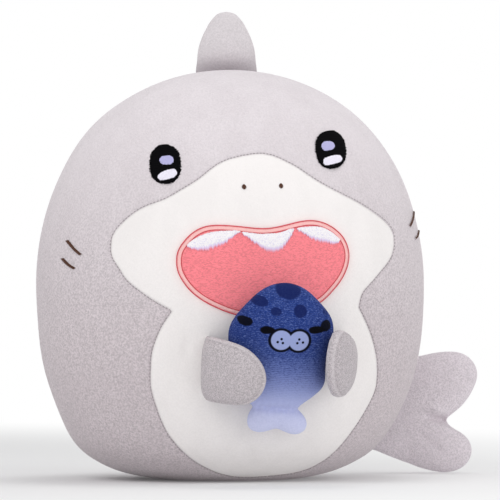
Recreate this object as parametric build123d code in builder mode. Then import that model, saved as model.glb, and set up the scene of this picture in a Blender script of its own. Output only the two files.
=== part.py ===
from build123d import *
import math
import os

# Soft plush shark that sits on a flat base and hugs a small plush seal.
# Units are millimetres. +Z is up, the face looks along -Y, and the origin is
# the centre of the flat base, on the surface that the toy sits on.

os.makedirs("parts", exist_ok=True)

# ---------------------------------------------------------------- dimensions
DEPTH_RATIO = 0.86          # body depth over body width
FABRIC = 2.0                # body cover thickness, backing and pile
APPLIQUE = 0.8              # mouth patch thickness
THREAD = 0.8                # satin stitch height on top of an applique
EYE_THREAD = 1.0            # satin stitch height of the eyes
SEAM_Y = 14.0               # plane of the side seam that joins front and back

# Half width of the body against height: flat base, widest below the middle
BODY_PROFILE = [
    (44.0, 0.0), (58.5, 2.0), (74.0, 6.0), (86.5, 12.0), (96.0, 19.0),
    (109.4, 41.0), (120.0, 73.0), (124.4, 108.0), (124.4, 133.0),
    (119.7, 165.0), (108.6, 195.8), (87.3, 226.5), (59.5, 247.0),
    (30.5, 257.8), (0.0, 261.4),
]

# Outlines on the front of the body, as (x, z)
PANEL = [
    (0.4, 205.3), (-11.1, 203.9), (-22.5, 200.8), (-30.8, 196.1), (-38.4, 190.1),
    (-49.5, 183.0), (-59.7, 177.1), (-74.1, 171.0), (-80.4, 166.4), (-85.6, 161.2),
    (-89.9, 155.0), (-91.4, 148.2), (-90.8, 140.7), (-87.4, 133.9), (-83.6, 127.1),
    (-78.1, 121.5), (-66.9, 112.9),
]
PANEL_CORNER_R = (-57.4, 107.3)
PANEL_BELLY = [
    (-62.7, 98.7), (-66.5, 89.4), (-68.6, 80.1), (-68.8, 70.9), (-68.3, 61.5),
    (-64.7, 49.1), (-57.8, 33.5), (-44.3, 17.8), (-26.7, 7.6), (-9.0, 3.0),
    (5.0, 2.6), (20.0, 3.6), (34.8, 6.0), (48.3, 13.0), (61.8, 28.0), (72.8, 46.0),
    (77.7, 58.0), (78.2, 67.4), (76.4, 79.7), (73.7, 87.8), (70.4, 95.4),
]
PANEL_CORNER_L = (62.4, 109.5)
PANEL_TOP_L = [
    (65.6, 119.1), (70.0, 123.4), (79.3, 132.2), (88.4, 142.3), (90.7, 150.0),
    (89.8, 157.4), (87.2, 161.2), (81.8, 165.5), (75.8, 169.2), (67.0, 174.0),
    (57.8, 178.3), (44.1, 184.4), (31.0, 191.7), (23.5, 196.7), (15.4, 201.0),
    (7.9, 204.1),
]
MOUTH = [
    (-36.6, 159.7), (-26.4, 160.4), (-12.9, 159.3), (0.1, 158.5), (10.4, 160.1),
    (19.6, 162.3), (29.6, 163.6), (38.3, 162.1), (45.0, 158.8), (51.1, 153.2),
    (54.4, 146.4), (54.9, 140.2), (52.6, 132.1), (48.4, 125.2), (42.8, 119.0),
    (36.7, 113.5), (26.7, 108.5), (14.9, 105.2), (2.1, 103.3), (-9.2, 103.3),
    (-19.7, 104.9), (-30.0, 108.6), (-37.8, 112.6), (-45.5, 118.4), (-51.4, 125.8),
    (-54.3, 132.6), (-54.8, 138.1), (-53.8, 144.3), (-50.5, 149.8), (-44.4, 156.0),
]
STITCH_WIDTH = 1.1          # width of each line of stitching round the mouth
STITCH_GAP = 2.7            # distance between the two lines
TOOTH_RIGHT = [
    (-47.6, 147.0), (-43.0, 151.9), (-38.2, 154.3), (-33.0, 155.8), (-25.9, 156.4),
    (-17.6, 155.7), (-19.6, 153.6), (-22.6, 151.0), (-27.6, 147.7), (-33.4, 145.4),
    (-40.0, 144.5), (-45.0, 145.2),
]
TOOTH_MIDDLE = [
    (-14.0, 155.3), (-8.7, 155.1), (-2.5, 154.7), (3.8, 155.0), (10.3, 156.0),
    (16.3, 157.2), (15.3, 153.8), (13.2, 149.9), (10.4, 146.1), (7.3, 144.0),
    (3.8, 143.6), (-1.5, 145.1), (-6.5, 148.2), (-10.8, 151.8),
]
TOOTH_LEFT = [
    (21.2, 157.6), (25.0, 158.7), (30.1, 159.5), (35.3, 159.1), (40.4, 157.4),
    (44.1, 154.3), (46.2, 151.0), (44.0, 149.6), (39.6, 149.2), (34.4, 150.1),
    (29.2, 151.8), (24.6, 154.6),
]
EYE_LEFT = [
    (58.7, 209.5), (57.8, 204.0), (55.7, 200.1), (52.4, 197.5), (47.5, 196.0),
    (42.7, 196.1), (39.5, 197.8), (37.4, 201.1), (36.7, 206.3), (37.4, 211.7),
    (39.4, 215.6), (42.7, 218.3), (47.8, 219.8), (52.8, 219.8), (56.2, 218.0),
    (58.1, 214.7),
]
EYE_RIGHT = [
    (-48.9, 198.3), (-49.8, 192.8), (-51.7, 189.2), (-54.5, 186.8), (-58.6, 185.9),
    (-62.5, 186.6), (-65.1, 188.8), (-66.5, 192.3), (-66.8, 197.8), (-65.8, 203.3),
    (-63.8, 207.0), (-61.0, 209.3), (-57.0, 210.2), (-53.0, 209.5), (-50.5, 207.3),
    (-49.1, 203.7),
]
GLINT_RIGHT_UPPER = [
    (-52.9, 200.6), (-53.4, 198.8), (-54.7, 197.7), (-56.8, 197.1), (-58.9, 197.3),
    (-60.1, 198.2), (-60.5, 200.0), (-60.0, 201.8), (-58.8, 202.9), (-56.7, 203.4),
    (-54.5, 203.3), (-53.3, 202.3),
]
GLINT_RIGHT_LOWER = [
    (-51.7, 193.2), (-52.0, 191.4), (-53.6, 189.7), (-56.3, 188.3), (-59.2, 187.6),
    (-61.3, 187.9), (-62.4, 189.2), (-62.1, 191.0), (-60.5, 192.7), (-57.8, 194.2),
    (-54.8, 194.9), (-52.7, 194.6),
]
GLINT_LEFT_UPPER = [
    (49.8, 210.3), (49.1, 208.5), (47.6, 207.3), (45.0, 206.7), (42.6, 206.8),
    (41.2, 207.7), (40.8, 209.4), (41.4, 211.2), (42.9, 212.4), (45.5, 213.0),
    (48.0, 212.9), (49.4, 212.0),
]
GLINT_LEFT_LOWER = [
    (53.9, 202.5), (53.3, 200.8), (51.0, 199.3), (47.5, 198.1), (43.9, 197.6),
    (41.4, 198.1), (40.4, 199.4), (41.0, 201.1), (43.2, 202.6), (46.7, 203.8),
    (50.4, 204.3), (52.9, 203.9),
]
NOSTRILS = [(-12.2, 183.9), (11.2, 184.6)]
NOSTRIL_R = 1.2

# Gill strokes: (start, end) on the body's surface, as (x, z)
GILLS_RIGHT = [((-112.9, 151.0), (-106.9, 142.3)), ((-115.5, 139.8), (-110.0, 133.6))]
GILLS_LEFT = [((112.5, 170.0), (105.0, 160.7)), ((116.2, 158.0), (109.9, 153.1))]
GILL_WIDTH = 1.7

# Dorsal fin, sewn into the seam over the top. It is pinched thin at the seam.
FIN_BASE_Z = 261.2
FIN_FRONT = [
    (-18.6, FIN_BASE_Z + 0.2), (-19.9, 265.0), (-19.2, 271.5), (-17.1, 279.0),
    (-13.5, 287.4), (-9.3, 294.0), (-4.8, 297.8), (0.2, 299.2), (5.0, 297.8),
    (9.3, 294.0), (13.7, 287.6), (17.1, 279.2), (19.1, 271.5), (20.0, 265.0),
    (19.2, FIN_BASE_Z + 0.2),
]
FIN_SIDE = [
    (-1.2, FIN_BASE_Z), (-6.6, 266.0), (-9.0, 271.5), (-8.6, 279.0), (-6.6, 288.0),
    (-3.4, 296.0), (0.0, 299.6), (3.4, 296.0), (6.6, 288.0), (8.6, 279.0),
    (9.0, 271.5), (6.6, 266.0), (1.2, FIN_BASE_Z),
]

# The hug: a frame that leans forward with the belly. Flippers turn about its
# z, and the seal lifts out along it.
HUG_TILT = 11.0
HUG_ORIGIN = (0.0, -102.0, 73.0)
FLIPPER_THICK = 14.0
FLIPPER_SKIN = 1.5
R_ROOT, R_MID, R_TIP = (-39.6, -3.7), (-35.0, -25.0), (-13.0, -40.5)
L_ROOT, L_MID, L_TIP = (54.0, 0.9), (47.5, -22.0), (36.0, -41.0)
R_OUTLINE = [   # along the flipper from its root, and up
    (-8.0, -15.5), (0.0, -17.5), (12.0, -19.3), (26.0, -19.6), (38.0, -16.2),
    (47.0, -9.6), (51.6, -1.0), (50.6, 7.4), (44.0, 14.0), (33.0, 18.6),
    (20.0, 20.6), (8.0, 20.4), (0.0, 19.0), (-8.0, 17.0),
]
L_OUTLINE = [
    (-8.0, -17.0), (0.0, -17.6), (12.0, -17.0), (25.0, -14.6), (37.0, -10.0),
    (46.0, -2.0), (50.4, 7.0), (50.6, 16.0), (46.0, 24.0), (37.0, 28.0),
    (25.0, 28.4), (12.0, 25.0), (0.0, 21.0), (-8.0, 18.0),
]

# Seal: teardrop head and body with a small pair of tail flukes
SEAL_HEAD = (5.6, -17.6, 25.0)   # widest point of the head, in the hug frame
SEAL_LEAN = 4.0                  # degrees, top towards the shark's left
SEAL_FLAT = 0.52                 # thickness over width
SEAL_SKIN = 1.2
SEAL_PROFILE = [
    (0.0, 31.0), (5.5, 30.3), (10.1, 28.7), (14.4, 26.2), (21.1, 20.0),
    (26.3, 13.7), (29.9, 7.5), (31.8, 0.0), (30.8, -6.2), (29.3, -14.4),
    (28.8, -22.5), (28.2, -30.0), (25.7, -34.9), (21.1, -39.9), (17.1, -43.7),
    (13.0, -47.7), (11.6, -51.0),
]
SEAL_FLUKES = [
    (-10.6, -46.5), (-14.4, -50.5), (-16.8, -55.0), (-17.7, -59.3), (-16.2, -62.3),
    (-12.4, -63.3), (-8.0, -63.0), (-4.2, -61.8), (0.4, -61.2), (5.0, -61.6),
    (8.8, -63.0), (13.4, -63.4), (17.0, -62.5), (19.0, -59.6), (18.6, -55.0),
    (16.4, -50.5), (12.0, -46.5),
]
FLUKE_THICK = 9.0
FLUKE_SKIN_GAP = 1.2

# Tail: two rounded lobes in an upright plane that crosses behind the body
TAIL_ANGLE = -12.3               # direction of the tail in plan, from +X
TAIL_ROOT = (97.8, 72.2)
TAIL_OUTLINE = [                 # (along the tail, up)
    (-8.0, 40.0), (0.0, 35.0), (8.0, 27.5), (15.8, 19.9), (24.5, 14.3), (38.3, 6.2),
    (50.8, 2.1), (58.8, 0.8), (68.7, 2.1), (75.3, 6.4), (78.7, 15.0), (76.6, 21.7),
    (71.0, 26.8), (64.4, 31.0), (62.2, 34.6), (65.6, 38.6), (73.3, 45.4),
    (80.0, 55.9), (82.4, 64.6), (80.0, 72.5), (73.3, 78.2), (65.4, 79.8),
    (52.2, 78.6), (43.6, 76.8), (30.0, 74.6), (15.0, 72.6), (0.0, 71.0), (-8.0, 68.5),
]
TAIL_PLAN = [                    # (along the tail, half thickness)
    (0.0, 8.0), (12.0, 10.0), (28.0, 12.2), (50.0, 13.0), (68.0, 11.0), (78.0, 6.8),
]
TAIL_SKIN = 1.5

LABEL_W, LABEL_H = 20.0, 15.0    # folded care label, sewn into the side seam
LABEL_X, LABEL_Z = 109.0, 52.0


# ------------------------------------------------------------------- helpers
def offset_points(points, amount, closed=True):
    """Moves points along the outward normal of their polyline (clockwise or
    not), by amount. Negative moves them inward."""
    n = len(points)
    area = sum(points[i][0] * points[(i + 1) % n][1]
               - points[(i + 1) % n][0] * points[i][1] for i in range(n))
    sign = 1.0 if area > 0 else -1.0
    moved = []
    for i, (x, y) in enumerate(points):
        a = points[(i - 1) % n] if closed or i > 0 else points[i]
        b = points[(i + 1) % n] if closed or i < n - 1 else points[i]
        tx, ty = b[0] - a[0], b[1] - a[1]
        size = math.hypot(tx, ty)
        moved.append((x + sign * amount * ty / size, y - sign * amount * tx / size))
    return moved


def egg(grow, skirt=0.0):
    """The body's outer form, grown by an amount along its normal. A skirt
    carries the outline on below the base, for a flat cut there."""
    points = offset_points(BODY_PROFILE, grow, closed=False)
    points[-1] = (0.0, BODY_PROFILE[-1][1] + grow)
    low = -grow
    points[0] = (BODY_PROFILE[0][0], low)
    if skirt > 0.0:
        low -= skirt
        points.insert(0, (BODY_PROFILE[0][0] - 7.2 * skirt, low))
    with BuildPart() as form:
        with BuildSketch(Plane.XZ):
            with BuildLine():
                Spline(points)
                Polyline(points[-1], (0.0, low), points[0])
            make_face()
        revolve(axis=Axis.Z)
    return scale(form.part, by=(1.0, DEPTH_RATIO, 1.0))


def slab(points, y_from=-160.0, y_to=0.0):
    """A prism along Y with a closed spline outline in (x, z)."""
    with BuildPart() as form:
        # Plane.XZ faces -Y, so an extrusion of +d reaches y = -d
        with BuildSketch(Plane.XZ.offset(-y_to)):
            with BuildLine():
                Spline(points, periodic=True)
            make_face()
        extrude(amount=y_to - y_from)
    return form.part


profile_curve = Spline(BODY_PROFILE, mode=Mode.PRIVATE)


def half_width(z):
    """The body's half width at a height above the flat base."""
    low, high = 0.0, 1.0
    for _ in range(40):
        middle = (low + high) / 2
        if (profile_curve @ middle).Y < z:
            low = middle
        else:
            high = middle
    return (profile_curve @ low).X


def on_body(x, z, side=-1.0):
    """A point of the body's surface, and the normal there. Side -1 is the
    front and side +1 the back."""
    r = half_width(z)
    slope = (half_width(z + 0.5) - half_width(z - 0.5)) / 1.0
    y = side * DEPTH_RATIO * math.sqrt(max(r * r - x * x, 0.0))
    normal = Vector(x, y / DEPTH_RATIO ** 2, -r * slope).normalized()
    return Vector(x, y, z), normal


# ------------------------------------------------------------ body and panel
body_outer = egg(0.0)
body_inner = egg(-FABRIC)

with BuildPart() as standing_form:
    add(egg(0.0, skirt=1.0))
    split(bisect_by=Plane.XY, keep=Keep.TOP)    # the exact flat base
cover = standing_form.part - body_inner

with BuildPart() as panel_prism:
    with BuildSketch(Plane.XZ.offset(40.0)):
        with BuildLine():
            Spline([PANEL_CORNER_L] + PANEL_TOP_L + [PANEL[0]] + PANEL[1:] + [PANEL_CORNER_R])
            Spline([PANEL_CORNER_R] + PANEL_BELLY + [PANEL_CORNER_L])
        make_face()
    extrude(amount=120.0)

with BuildPart() as front_half:
    add(cover)
    split(bisect_by=Plane.XZ.offset(-SEAM_Y), keep=Keep.TOP)

with BuildPart() as back_shell:
    add(cover)
    split(bisect_by=Plane.XZ.offset(-SEAM_Y), keep=Keep.BOTTOM)
back_shell.part.label = "back_shell"
export_step(back_shell.part, "parts/back_shell.step")

with BuildPart() as front_shell:
    add(front_half.part)
    add(panel_prism.part, mode=Mode.SUBTRACT)
front_shell.part.label = "front_shell"
export_step(front_shell.part, "parts/front_shell.step")

with BuildPart() as face_belly_panel:
    add(front_half.part)
    add(panel_prism.part, mode=Mode.INTERSECT)
face_belly_panel.part.label = "face_belly_panel"
export_step(face_belly_panel.part, "parts/face_belly_panel.step")

with BuildPart() as body_stuffing:
    add(body_inner)
body_stuffing.part.label = "body_stuffing"
export_step(body_stuffing.part, "parts/body_stuffing.step")

# ------------------------------------------------- applique and embroidery
layer_patch = egg(APPLIQUE) - body_outer
layer_thread = egg(APPLIQUE + THREAD) - egg(APPLIQUE)
layer_eye = egg(EYE_THREAD) - body_outer
layer_glint = egg(EYE_THREAD + 0.6) - egg(EYE_THREAD)

with BuildPart() as mouth_patch:
    add(layer_patch)
    add(slab(MOUTH), mode=Mode.INTERSECT)
mouth_patch.part.label = "mouth_patch"
export_step(mouth_patch.part, "parts/mouth_patch.step")


with BuildPart() as mouth_stitch_outer:
    add(layer_thread)
    add(slab(offset_points(MOUTH, -0.6 + STITCH_WIDTH / 2)), mode=Mode.INTERSECT)
    add(slab(offset_points(MOUTH, -0.6 - STITCH_WIDTH / 2)), mode=Mode.SUBTRACT)
mouth_stitch_outer.part.label = "mouth_stitch_outer"
export_step(mouth_stitch_outer.part, "parts/mouth_stitch_outer.step")

with BuildPart() as mouth_stitch_inner:
    add(layer_thread)
    add(slab(offset_points(MOUTH, -0.6 - STITCH_GAP + STITCH_WIDTH / 2)), mode=Mode.INTERSECT)
    add(slab(offset_points(MOUTH, -0.6 - STITCH_GAP - STITCH_WIDTH / 2)), mode=Mode.SUBTRACT)
mouth_stitch_inner.part.label = "mouth_stitch_inner"
export_step(mouth_stitch_inner.part, "parts/mouth_stitch_inner.step")

inner_field = slab(offset_points(MOUTH, -0.6 - STITCH_GAP - STITCH_WIDTH / 2 - 0.1))

with BuildPart() as tooth_right:
    add(layer_thread)
    add(slab(TOOTH_RIGHT), mode=Mode.INTERSECT)
    add(inner_field, mode=Mode.INTERSECT)
tooth_right.part.label = "tooth_right"
export_step(tooth_right.part, "parts/tooth_right.step")

with BuildPart() as tooth_middle:
    add(layer_thread)
    add(slab(TOOTH_MIDDLE), mode=Mode.INTERSECT)
    add(inner_field, mode=Mode.INTERSECT)
tooth_middle.part.label = "tooth_middle"
export_step(tooth_middle.part, "parts/tooth_middle.step")

with BuildPart() as tooth_left:
    add(layer_thread)
    add(slab(TOOTH_LEFT), mode=Mode.INTERSECT)
    add(inner_field, mode=Mode.INTERSECT)
tooth_left.part.label = "tooth_left"
export_step(tooth_left.part, "parts/tooth_left.step")

with BuildPart() as eye_right:
    add(layer_eye)
    add(slab(EYE_RIGHT), mode=Mode.INTERSECT)
eye_right.part.label = "eye_right"
export_step(eye_right.part, "parts/eye_right.step")

with BuildPart() as eye_left:
    add(layer_eye)
    add(slab(EYE_LEFT), mode=Mode.INTERSECT)
eye_left.part.label = "eye_left"
export_step(eye_left.part, "parts/eye_left.step")

with BuildPart() as eye_glint_right_upper:
    add(layer_glint)
    add(slab(GLINT_RIGHT_UPPER), mode=Mode.INTERSECT)
eye_glint_right_upper.part.label = "eye_glint_right_upper"
export_step(eye_glint_right_upper.part, "parts/eye_glint_right_upper.step")

with BuildPart() as eye_glint_right_lower:
    add(layer_glint)
    add(slab(GLINT_RIGHT_LOWER), mode=Mode.INTERSECT)
eye_glint_right_lower.part.label = "eye_glint_right_lower"
export_step(eye_glint_right_lower.part, "parts/eye_glint_right_lower.step")

with BuildPart() as eye_glint_left_upper:
    add(layer_glint)
    add(slab(GLINT_LEFT_UPPER), mode=Mode.INTERSECT)
eye_glint_left_upper.part.label = "eye_glint_left_upper"
export_step(eye_glint_left_upper.part, "parts/eye_glint_left_upper.step")

with BuildPart() as eye_glint_left_lower:
    add(layer_glint)
    add(slab(GLINT_LEFT_LOWER), mode=Mode.INTERSECT)
eye_glint_left_lower.part.label = "eye_glint_left_lower"
export_step(eye_glint_left_lower.part, "parts/eye_glint_left_lower.step")

with BuildPart() as nostril_posts:
    with BuildSketch(Plane.XZ.offset(60.0)):
        with Locations(*NOSTRILS):
            Ellipse(NOSTRIL_R, NOSTRIL_R * 1.15)
    extrude(amount=80.0)

with BuildPart() as nostrils:
    add(layer_patch)
    add(nostril_posts.part, mode=Mode.INTERSECT)
nostrils.part.label = "nostrils"
export_step(nostrils.part, "parts/nostrils.step")


def gill_strokes(strokes):
    """Small slots that lie on the body's surface, one for each stroke."""
    made = []
    for (x0, z0), (x1, z1) in strokes:
        a, _ = on_body(x0, z0)
        b, _ = on_body(x1, z1)
        middle, out = on_body((x0 + x1) / 2, (z0 + z1) / 2)
        along = b - a
        along = (along - out * along.dot(out)).normalized()
        with BuildPart() as stroke:
            with BuildSketch(Plane(origin=middle + out * 0.02, x_dir=along, z_dir=out)):
                SlotOverall((b - a).length + GILL_WIDTH, GILL_WIDTH)
            extrude(amount=APPLIQUE)
        made.append(stroke.part)
    return made


with BuildPart() as gills_right:
    for stroke_solid in gill_strokes(GILLS_RIGHT):
        add(stroke_solid)
gills_right.part.label = "gills_right"
export_step(gills_right.part, "parts/gills_right.step")

with BuildPart() as gills_left:
    for stroke_solid in gill_strokes(GILLS_LEFT):
        add(stroke_solid)
gills_left.part.label = "gills_left"
export_step(gills_left.part, "parts/gills_left.step")

# ---------------------------------------------------------------- dorsal fin


def fin_solid(inset):
    """The fin: front outline and side outline, both inset, crossed."""
    front = offset_points(FIN_FRONT, -inset, closed=True) if inset else list(FIN_FRONT)
    side = offset_points(FIN_SIDE, -inset, closed=True) if inset else list(FIN_SIDE)
    with BuildPart() as form:
        with BuildSketch(Plane.XZ.offset(-SEAM_Y)):
            with BuildLine():
                Spline(front)
                Line(front[-1], front[0])
            make_face()
        extrude(amount=20.0, both=True)
        with BuildSketch(Plane.YZ):
            with BuildLine():
                Spline([(y + SEAM_Y, z) for y, z in side])
                Line((side[-1][0] + SEAM_Y, side[-1][1]), (side[0][0] + SEAM_Y, side[0][1]))
            make_face()
        extrude(amount=30.0, both=True, mode=Mode.INTERSECT)
    return form.part


fin_full = fin_solid(0.0)
fin_core = fin_solid(1.5)

with BuildPart() as fin_stuffing:
    add(fin_core)
fin_stuffing.part.label = "fin_stuffing"
export_step(fin_stuffing.part, "parts/fin_stuffing.step")

with BuildPart() as fin_front_panel:
    add(fin_full)
    add(fin_core, mode=Mode.SUBTRACT)
    split(bisect_by=Plane.XZ.offset(-SEAM_Y), keep=Keep.TOP)
fin_front_panel.part.label = "fin_front_panel"
export_step(fin_front_panel.part, "parts/fin_front_panel.step")

with BuildPart() as fin_back_panel:
    add(fin_full)
    add(fin_core, mode=Mode.SUBTRACT)
    split(bisect_by=Plane.XZ.offset(-SEAM_Y), keep=Keep.BOTTOM)
fin_back_panel.part.label = "fin_back_panel"
export_step(fin_back_panel.part, "parts/fin_back_panel.step")

# ------------------------------------------------------------------ flippers
tilt = math.radians(HUG_TILT)
hug_z = Vector(0.0, -math.sin(tilt), math.cos(tilt))
hug_y = Vector(0.0, math.cos(tilt), math.sin(tilt))
hug = Plane(origin=HUG_ORIGIN, x_dir=(1, 0, 0), z_dir=hug_z)


def hug_point(x, y, z):
    return Vector(*HUG_ORIGIN) + Vector(1, 0, 0) * x + hug_y * y + hug_z * z


def flipper(root, mid, tip, outline, inset):
    """A curved pad along the arc root-mid-tip, cut to its side outline."""
    thick = FLIPPER_THICK - 2 * inset
    shape = offset_points(outline, -inset) if inset else outline
    cx, cy = tip[0] - root[0], tip[1] - root[1]
    size = math.hypot(cx, cy)
    chord = Vector(1, 0, 0) * (cx / size) + hug_y * (cy / size)
    across = chord.cross(hug_z)
    side = Plane(origin=hug_point(root[0], root[1], 0.0), x_dir=chord, z_dir=across)
    up = 1.0 if side.y_dir.dot(hug_z) > 0 else -1.0
    with BuildLine(mode=Mode.PRIVATE) as path:
        arc = ThreePointArc(root, mid, tip)
    with BuildPart() as form:
        with BuildSketch(hug):
            SlotArc(arc, thick)
        extrude(amount=40.0, both=True)
        with BuildSketch(side):
            with BuildLine():
                Spline([(s, up * h) for s, h in shape], periodic=True)
            make_face()
        extrude(amount=50.0, both=True, mode=Mode.INTERSECT)
    return form.part


def flipper_outside(root, mid, tip, away):
    """The region on the outer side of the arc, as a prism along the hug's z."""
    arc = ThreePointArc(root, mid, tip, mode=Mode.PRIVATE)
    t0, t1 = arc % 0.0, arc % 1.0
    start = (root[0] - t0.X * 20.0, root[1] - t0.Y * 20.0)
    end = (tip[0] + t1.X * 20.0, tip[1] + t1.Y * 20.0)
    with BuildPart() as form:
        with BuildSketch(hug):
            with BuildLine():
                Line(start, root)
                ThreePointArc(root, mid, tip)
                Polyline(tip, end, (end[0] + away[0], end[1] + away[1]),
                         (start[0] + away[0], start[1] + away[1]), start)
            make_face()
        extrude(amount=60.0, both=True)
    return form.part


right_full = flipper(R_ROOT, R_MID, R_TIP, R_OUTLINE, 0.0)
right_core = flipper(R_ROOT, R_MID, R_TIP, R_OUTLINE, FLIPPER_SKIN)
right_outside = flipper_outside(R_ROOT, R_MID, R_TIP, (-70.0, -50.0))
left_full = flipper(L_ROOT, L_MID, L_TIP, L_OUTLINE, 0.0)
left_core = flipper(L_ROOT, L_MID, L_TIP, L_OUTLINE, FLIPPER_SKIN)
left_outside = flipper_outside(L_ROOT, L_MID, L_TIP, (80.0, -40.0))

with BuildPart() as right_flipper_stuffing:
    add(right_core)
right_flipper_stuffing.part.label = "right_flipper_stuffing"
export_step(right_flipper_stuffing.part, "parts/right_flipper_stuffing.step")

with BuildPart() as right_flipper_outer:
    add(right_full)
    add(right_core, mode=Mode.SUBTRACT)
    add(right_outside, mode=Mode.INTERSECT)
right_flipper_outer.part.label = "right_flipper_outer"
export_step(right_flipper_outer.part, "parts/right_flipper_outer.step")

with BuildPart() as right_flipper_inner:
    add(right_full)
    add(right_core, mode=Mode.SUBTRACT)
    add(right_outside, mode=Mode.SUBTRACT)
right_flipper_inner.part.label = "right_flipper_inner"
export_step(right_flipper_inner.part, "parts/right_flipper_inner.step")

with BuildPart() as left_flipper_stuffing:
    add(left_core)
left_flipper_stuffing.part.label = "left_flipper_stuffing"
export_step(left_flipper_stuffing.part, "parts/left_flipper_stuffing.step")

with BuildPart() as left_flipper_outer:
    add(left_full)
    add(left_core, mode=Mode.SUBTRACT)
    add(left_outside, mode=Mode.INTERSECT)
left_flipper_outer.part.label = "left_flipper_outer"
export_step(left_flipper_outer.part, "parts/left_flipper_outer.step")

with BuildPart() as left_flipper_inner:
    add(left_full)
    add(left_core, mode=Mode.SUBTRACT)
    add(left_outside, mode=Mode.SUBTRACT)
left_flipper_inner.part.label = "left_flipper_inner"
export_step(left_flipper_inner.part, "parts/left_flipper_inner.step")

# ---------------------------------------------------------------------- seal


def seal_solid(inset):
    """Teardrop of revolution, flattened, joined to its slab of flukes."""
    profile = offset_points(SEAL_PROFILE, -inset, closed=False) if inset else list(SEAL_PROFILE)
    profile[0] = (0.0, SEAL_PROFILE[0][1] - inset)
    with BuildPart() as drop:
        with BuildSketch(Plane.XZ):
            with BuildLine():
                Spline(profile)
                Polyline(profile[-1], (0.0, profile[-1][1]), profile[0])
            make_face()
        revolve(axis=Axis.Z)
    flat = scale(drop.part, by=(1.0, SEAL_FLAT, 1.0))
    flukes = offset_points(SEAL_FLUKES, -inset) if inset else SEAL_FLUKES
    with BuildPart() as form:
        add(flat)
        with BuildSketch(Plane.XZ):
            with BuildLine():
                Spline(flukes, periodic=True)
            make_face()
        extrude(amount=FLUKE_THICK / 2 - inset, both=True)
    return form.part


# seal frame: leans sideways in the hug frame about the hug's y
lean = math.radians(SEAL_LEAN)
seal_z = hug_z * math.cos(lean) + Vector(1, 0, 0) * math.sin(lean)
seal_x = Vector(1, 0, 0) * math.cos(lean) - hug_z * math.sin(lean)
seal_plane = Plane(origin=hug_point(*SEAL_HEAD), x_dir=seal_x, z_dir=seal_z)
seal_mid = Plane(origin=hug_point(*SEAL_HEAD), x_dir=seal_x, z_dir=-hug_y)

seal_full = seal_plane.location * seal_solid(0.0)
seal_core = seal_plane.location * seal_solid(SEAL_SKIN)

with BuildPart() as seal_stuffing:
    add(seal_core)
seal_stuffing.part.label = "seal_stuffing"
export_step(seal_stuffing.part, "parts/seal_stuffing.step")

with BuildPart() as seal_front_panel:
    add(seal_full)
    add(seal_core, mode=Mode.SUBTRACT)
    split(bisect_by=seal_mid, keep=Keep.TOP)
seal_front_panel.part.label = "seal_front_panel"
export_step(seal_front_panel.part, "parts/seal_front_panel.step")

with BuildPart() as seal_back_panel:
    add(seal_full)
    add(seal_core, mode=Mode.SUBTRACT)
    split(bisect_by=seal_mid, keep=Keep.BOTTOM)
seal_back_panel.part.label = "seal_back_panel"
export_step(seal_back_panel.part, "parts/seal_back_panel.step")

# ---------------------------------------------------------------------- tail
turn = math.radians(TAIL_ANGLE)
tail_dir = Vector(math.cos(turn), math.sin(turn), 0.0)
tail_face = Vector(math.sin(turn), -math.cos(turn), 0.0)
tail_side = Plane(origin=(*TAIL_ROOT, 0.0), x_dir=tail_dir, z_dir=tail_face)
tail_top = Plane(origin=(*TAIL_ROOT, 0.0), x_dir=tail_dir, z_dir=(0, 0, 1))


def tail_solid(inset):
    """The two lobes, cut from their outline and their plan."""
    outline = offset_points(TAIL_OUTLINE, -inset) if inset else TAIL_OUTLINE
    end = 82.9 - inset
    nose = 8.0 - inset
    half = [(s, h - inset) for s, h in TAIL_PLAN]
    with BuildPart() as form:
        with BuildSketch(tail_side):
            with BuildLine():
                Spline(outline, periodic=True)
            make_face()
        extrude(amount=20.0, both=True)
        with BuildSketch(tail_top):
            with BuildLine():
                ThreePointArc((0.0, nose), (-nose, 0.0), (0.0, -nose))
                Spline(half + [(end, 0.0)] + [(s, -h) for s, h in reversed(half)])
            make_face()
        extrude(amount=90.0, mode=Mode.INTERSECT)
    return form.part


tail_full = tail_solid(0.0)
tail_core = tail_solid(TAIL_SKIN)

with BuildPart() as tail_stuffing:
    add(tail_core)
tail_stuffing.part.label = "tail_stuffing"
export_step(tail_stuffing.part, "parts/tail_stuffing.step")

with BuildPart() as tail_front_panel:
    add(tail_full)
    add(tail_core, mode=Mode.SUBTRACT)
    split(bisect_by=tail_side, keep=Keep.TOP)
tail_front_panel.part.label = "tail_front_panel"
export_step(tail_front_panel.part, "parts/tail_front_panel.step")

with BuildPart() as tail_back_panel:
    add(tail_full)
    add(tail_core, mode=Mode.SUBTRACT)
    split(bisect_by=tail_side, keep=Keep.BOTTOM)
tail_back_panel.part.label = "tail_back_panel"
export_step(tail_back_panel.part, "parts/tail_back_panel.step")

# --------------------------------------------------------------- care label
label_point, label_out = on_body(LABEL_X, LABEL_Z, side=1.0)
label_along = (Vector(0, 0, 1) - label_out * label_out.Z).normalized()

with BuildPart() as care_label:
    with BuildSketch(Plane(origin=label_point + label_out * 0.1,
                           x_dir=label_along.cross(label_out) * -1.0, z_dir=label_out)):
        Rectangle(LABEL_W, LABEL_H)
    extrude(amount=0.6)
care_label.part.label = "care_label"
export_step(care_label.part, "parts/care_label.step")

# ------------------------------------------------------------- joint report
for name, root in (("right", R_ROOT), ("left", L_ROOT)):
    p = hug_point(root[0], root[1], 0.0)
    print(name, "flipper hinge at", round(p.X, 3), round(p.Y, 3), round(p.Z, 3))
print("hug axis", round(hug_z.X, 5), round(hug_z.Y, 5), round(hug_z.Z, 5))
print("tail hinge at", TAIL_ROOT, "fin hinge at y", SEAM_Y, "z", FIN_BASE_Z)
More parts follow.
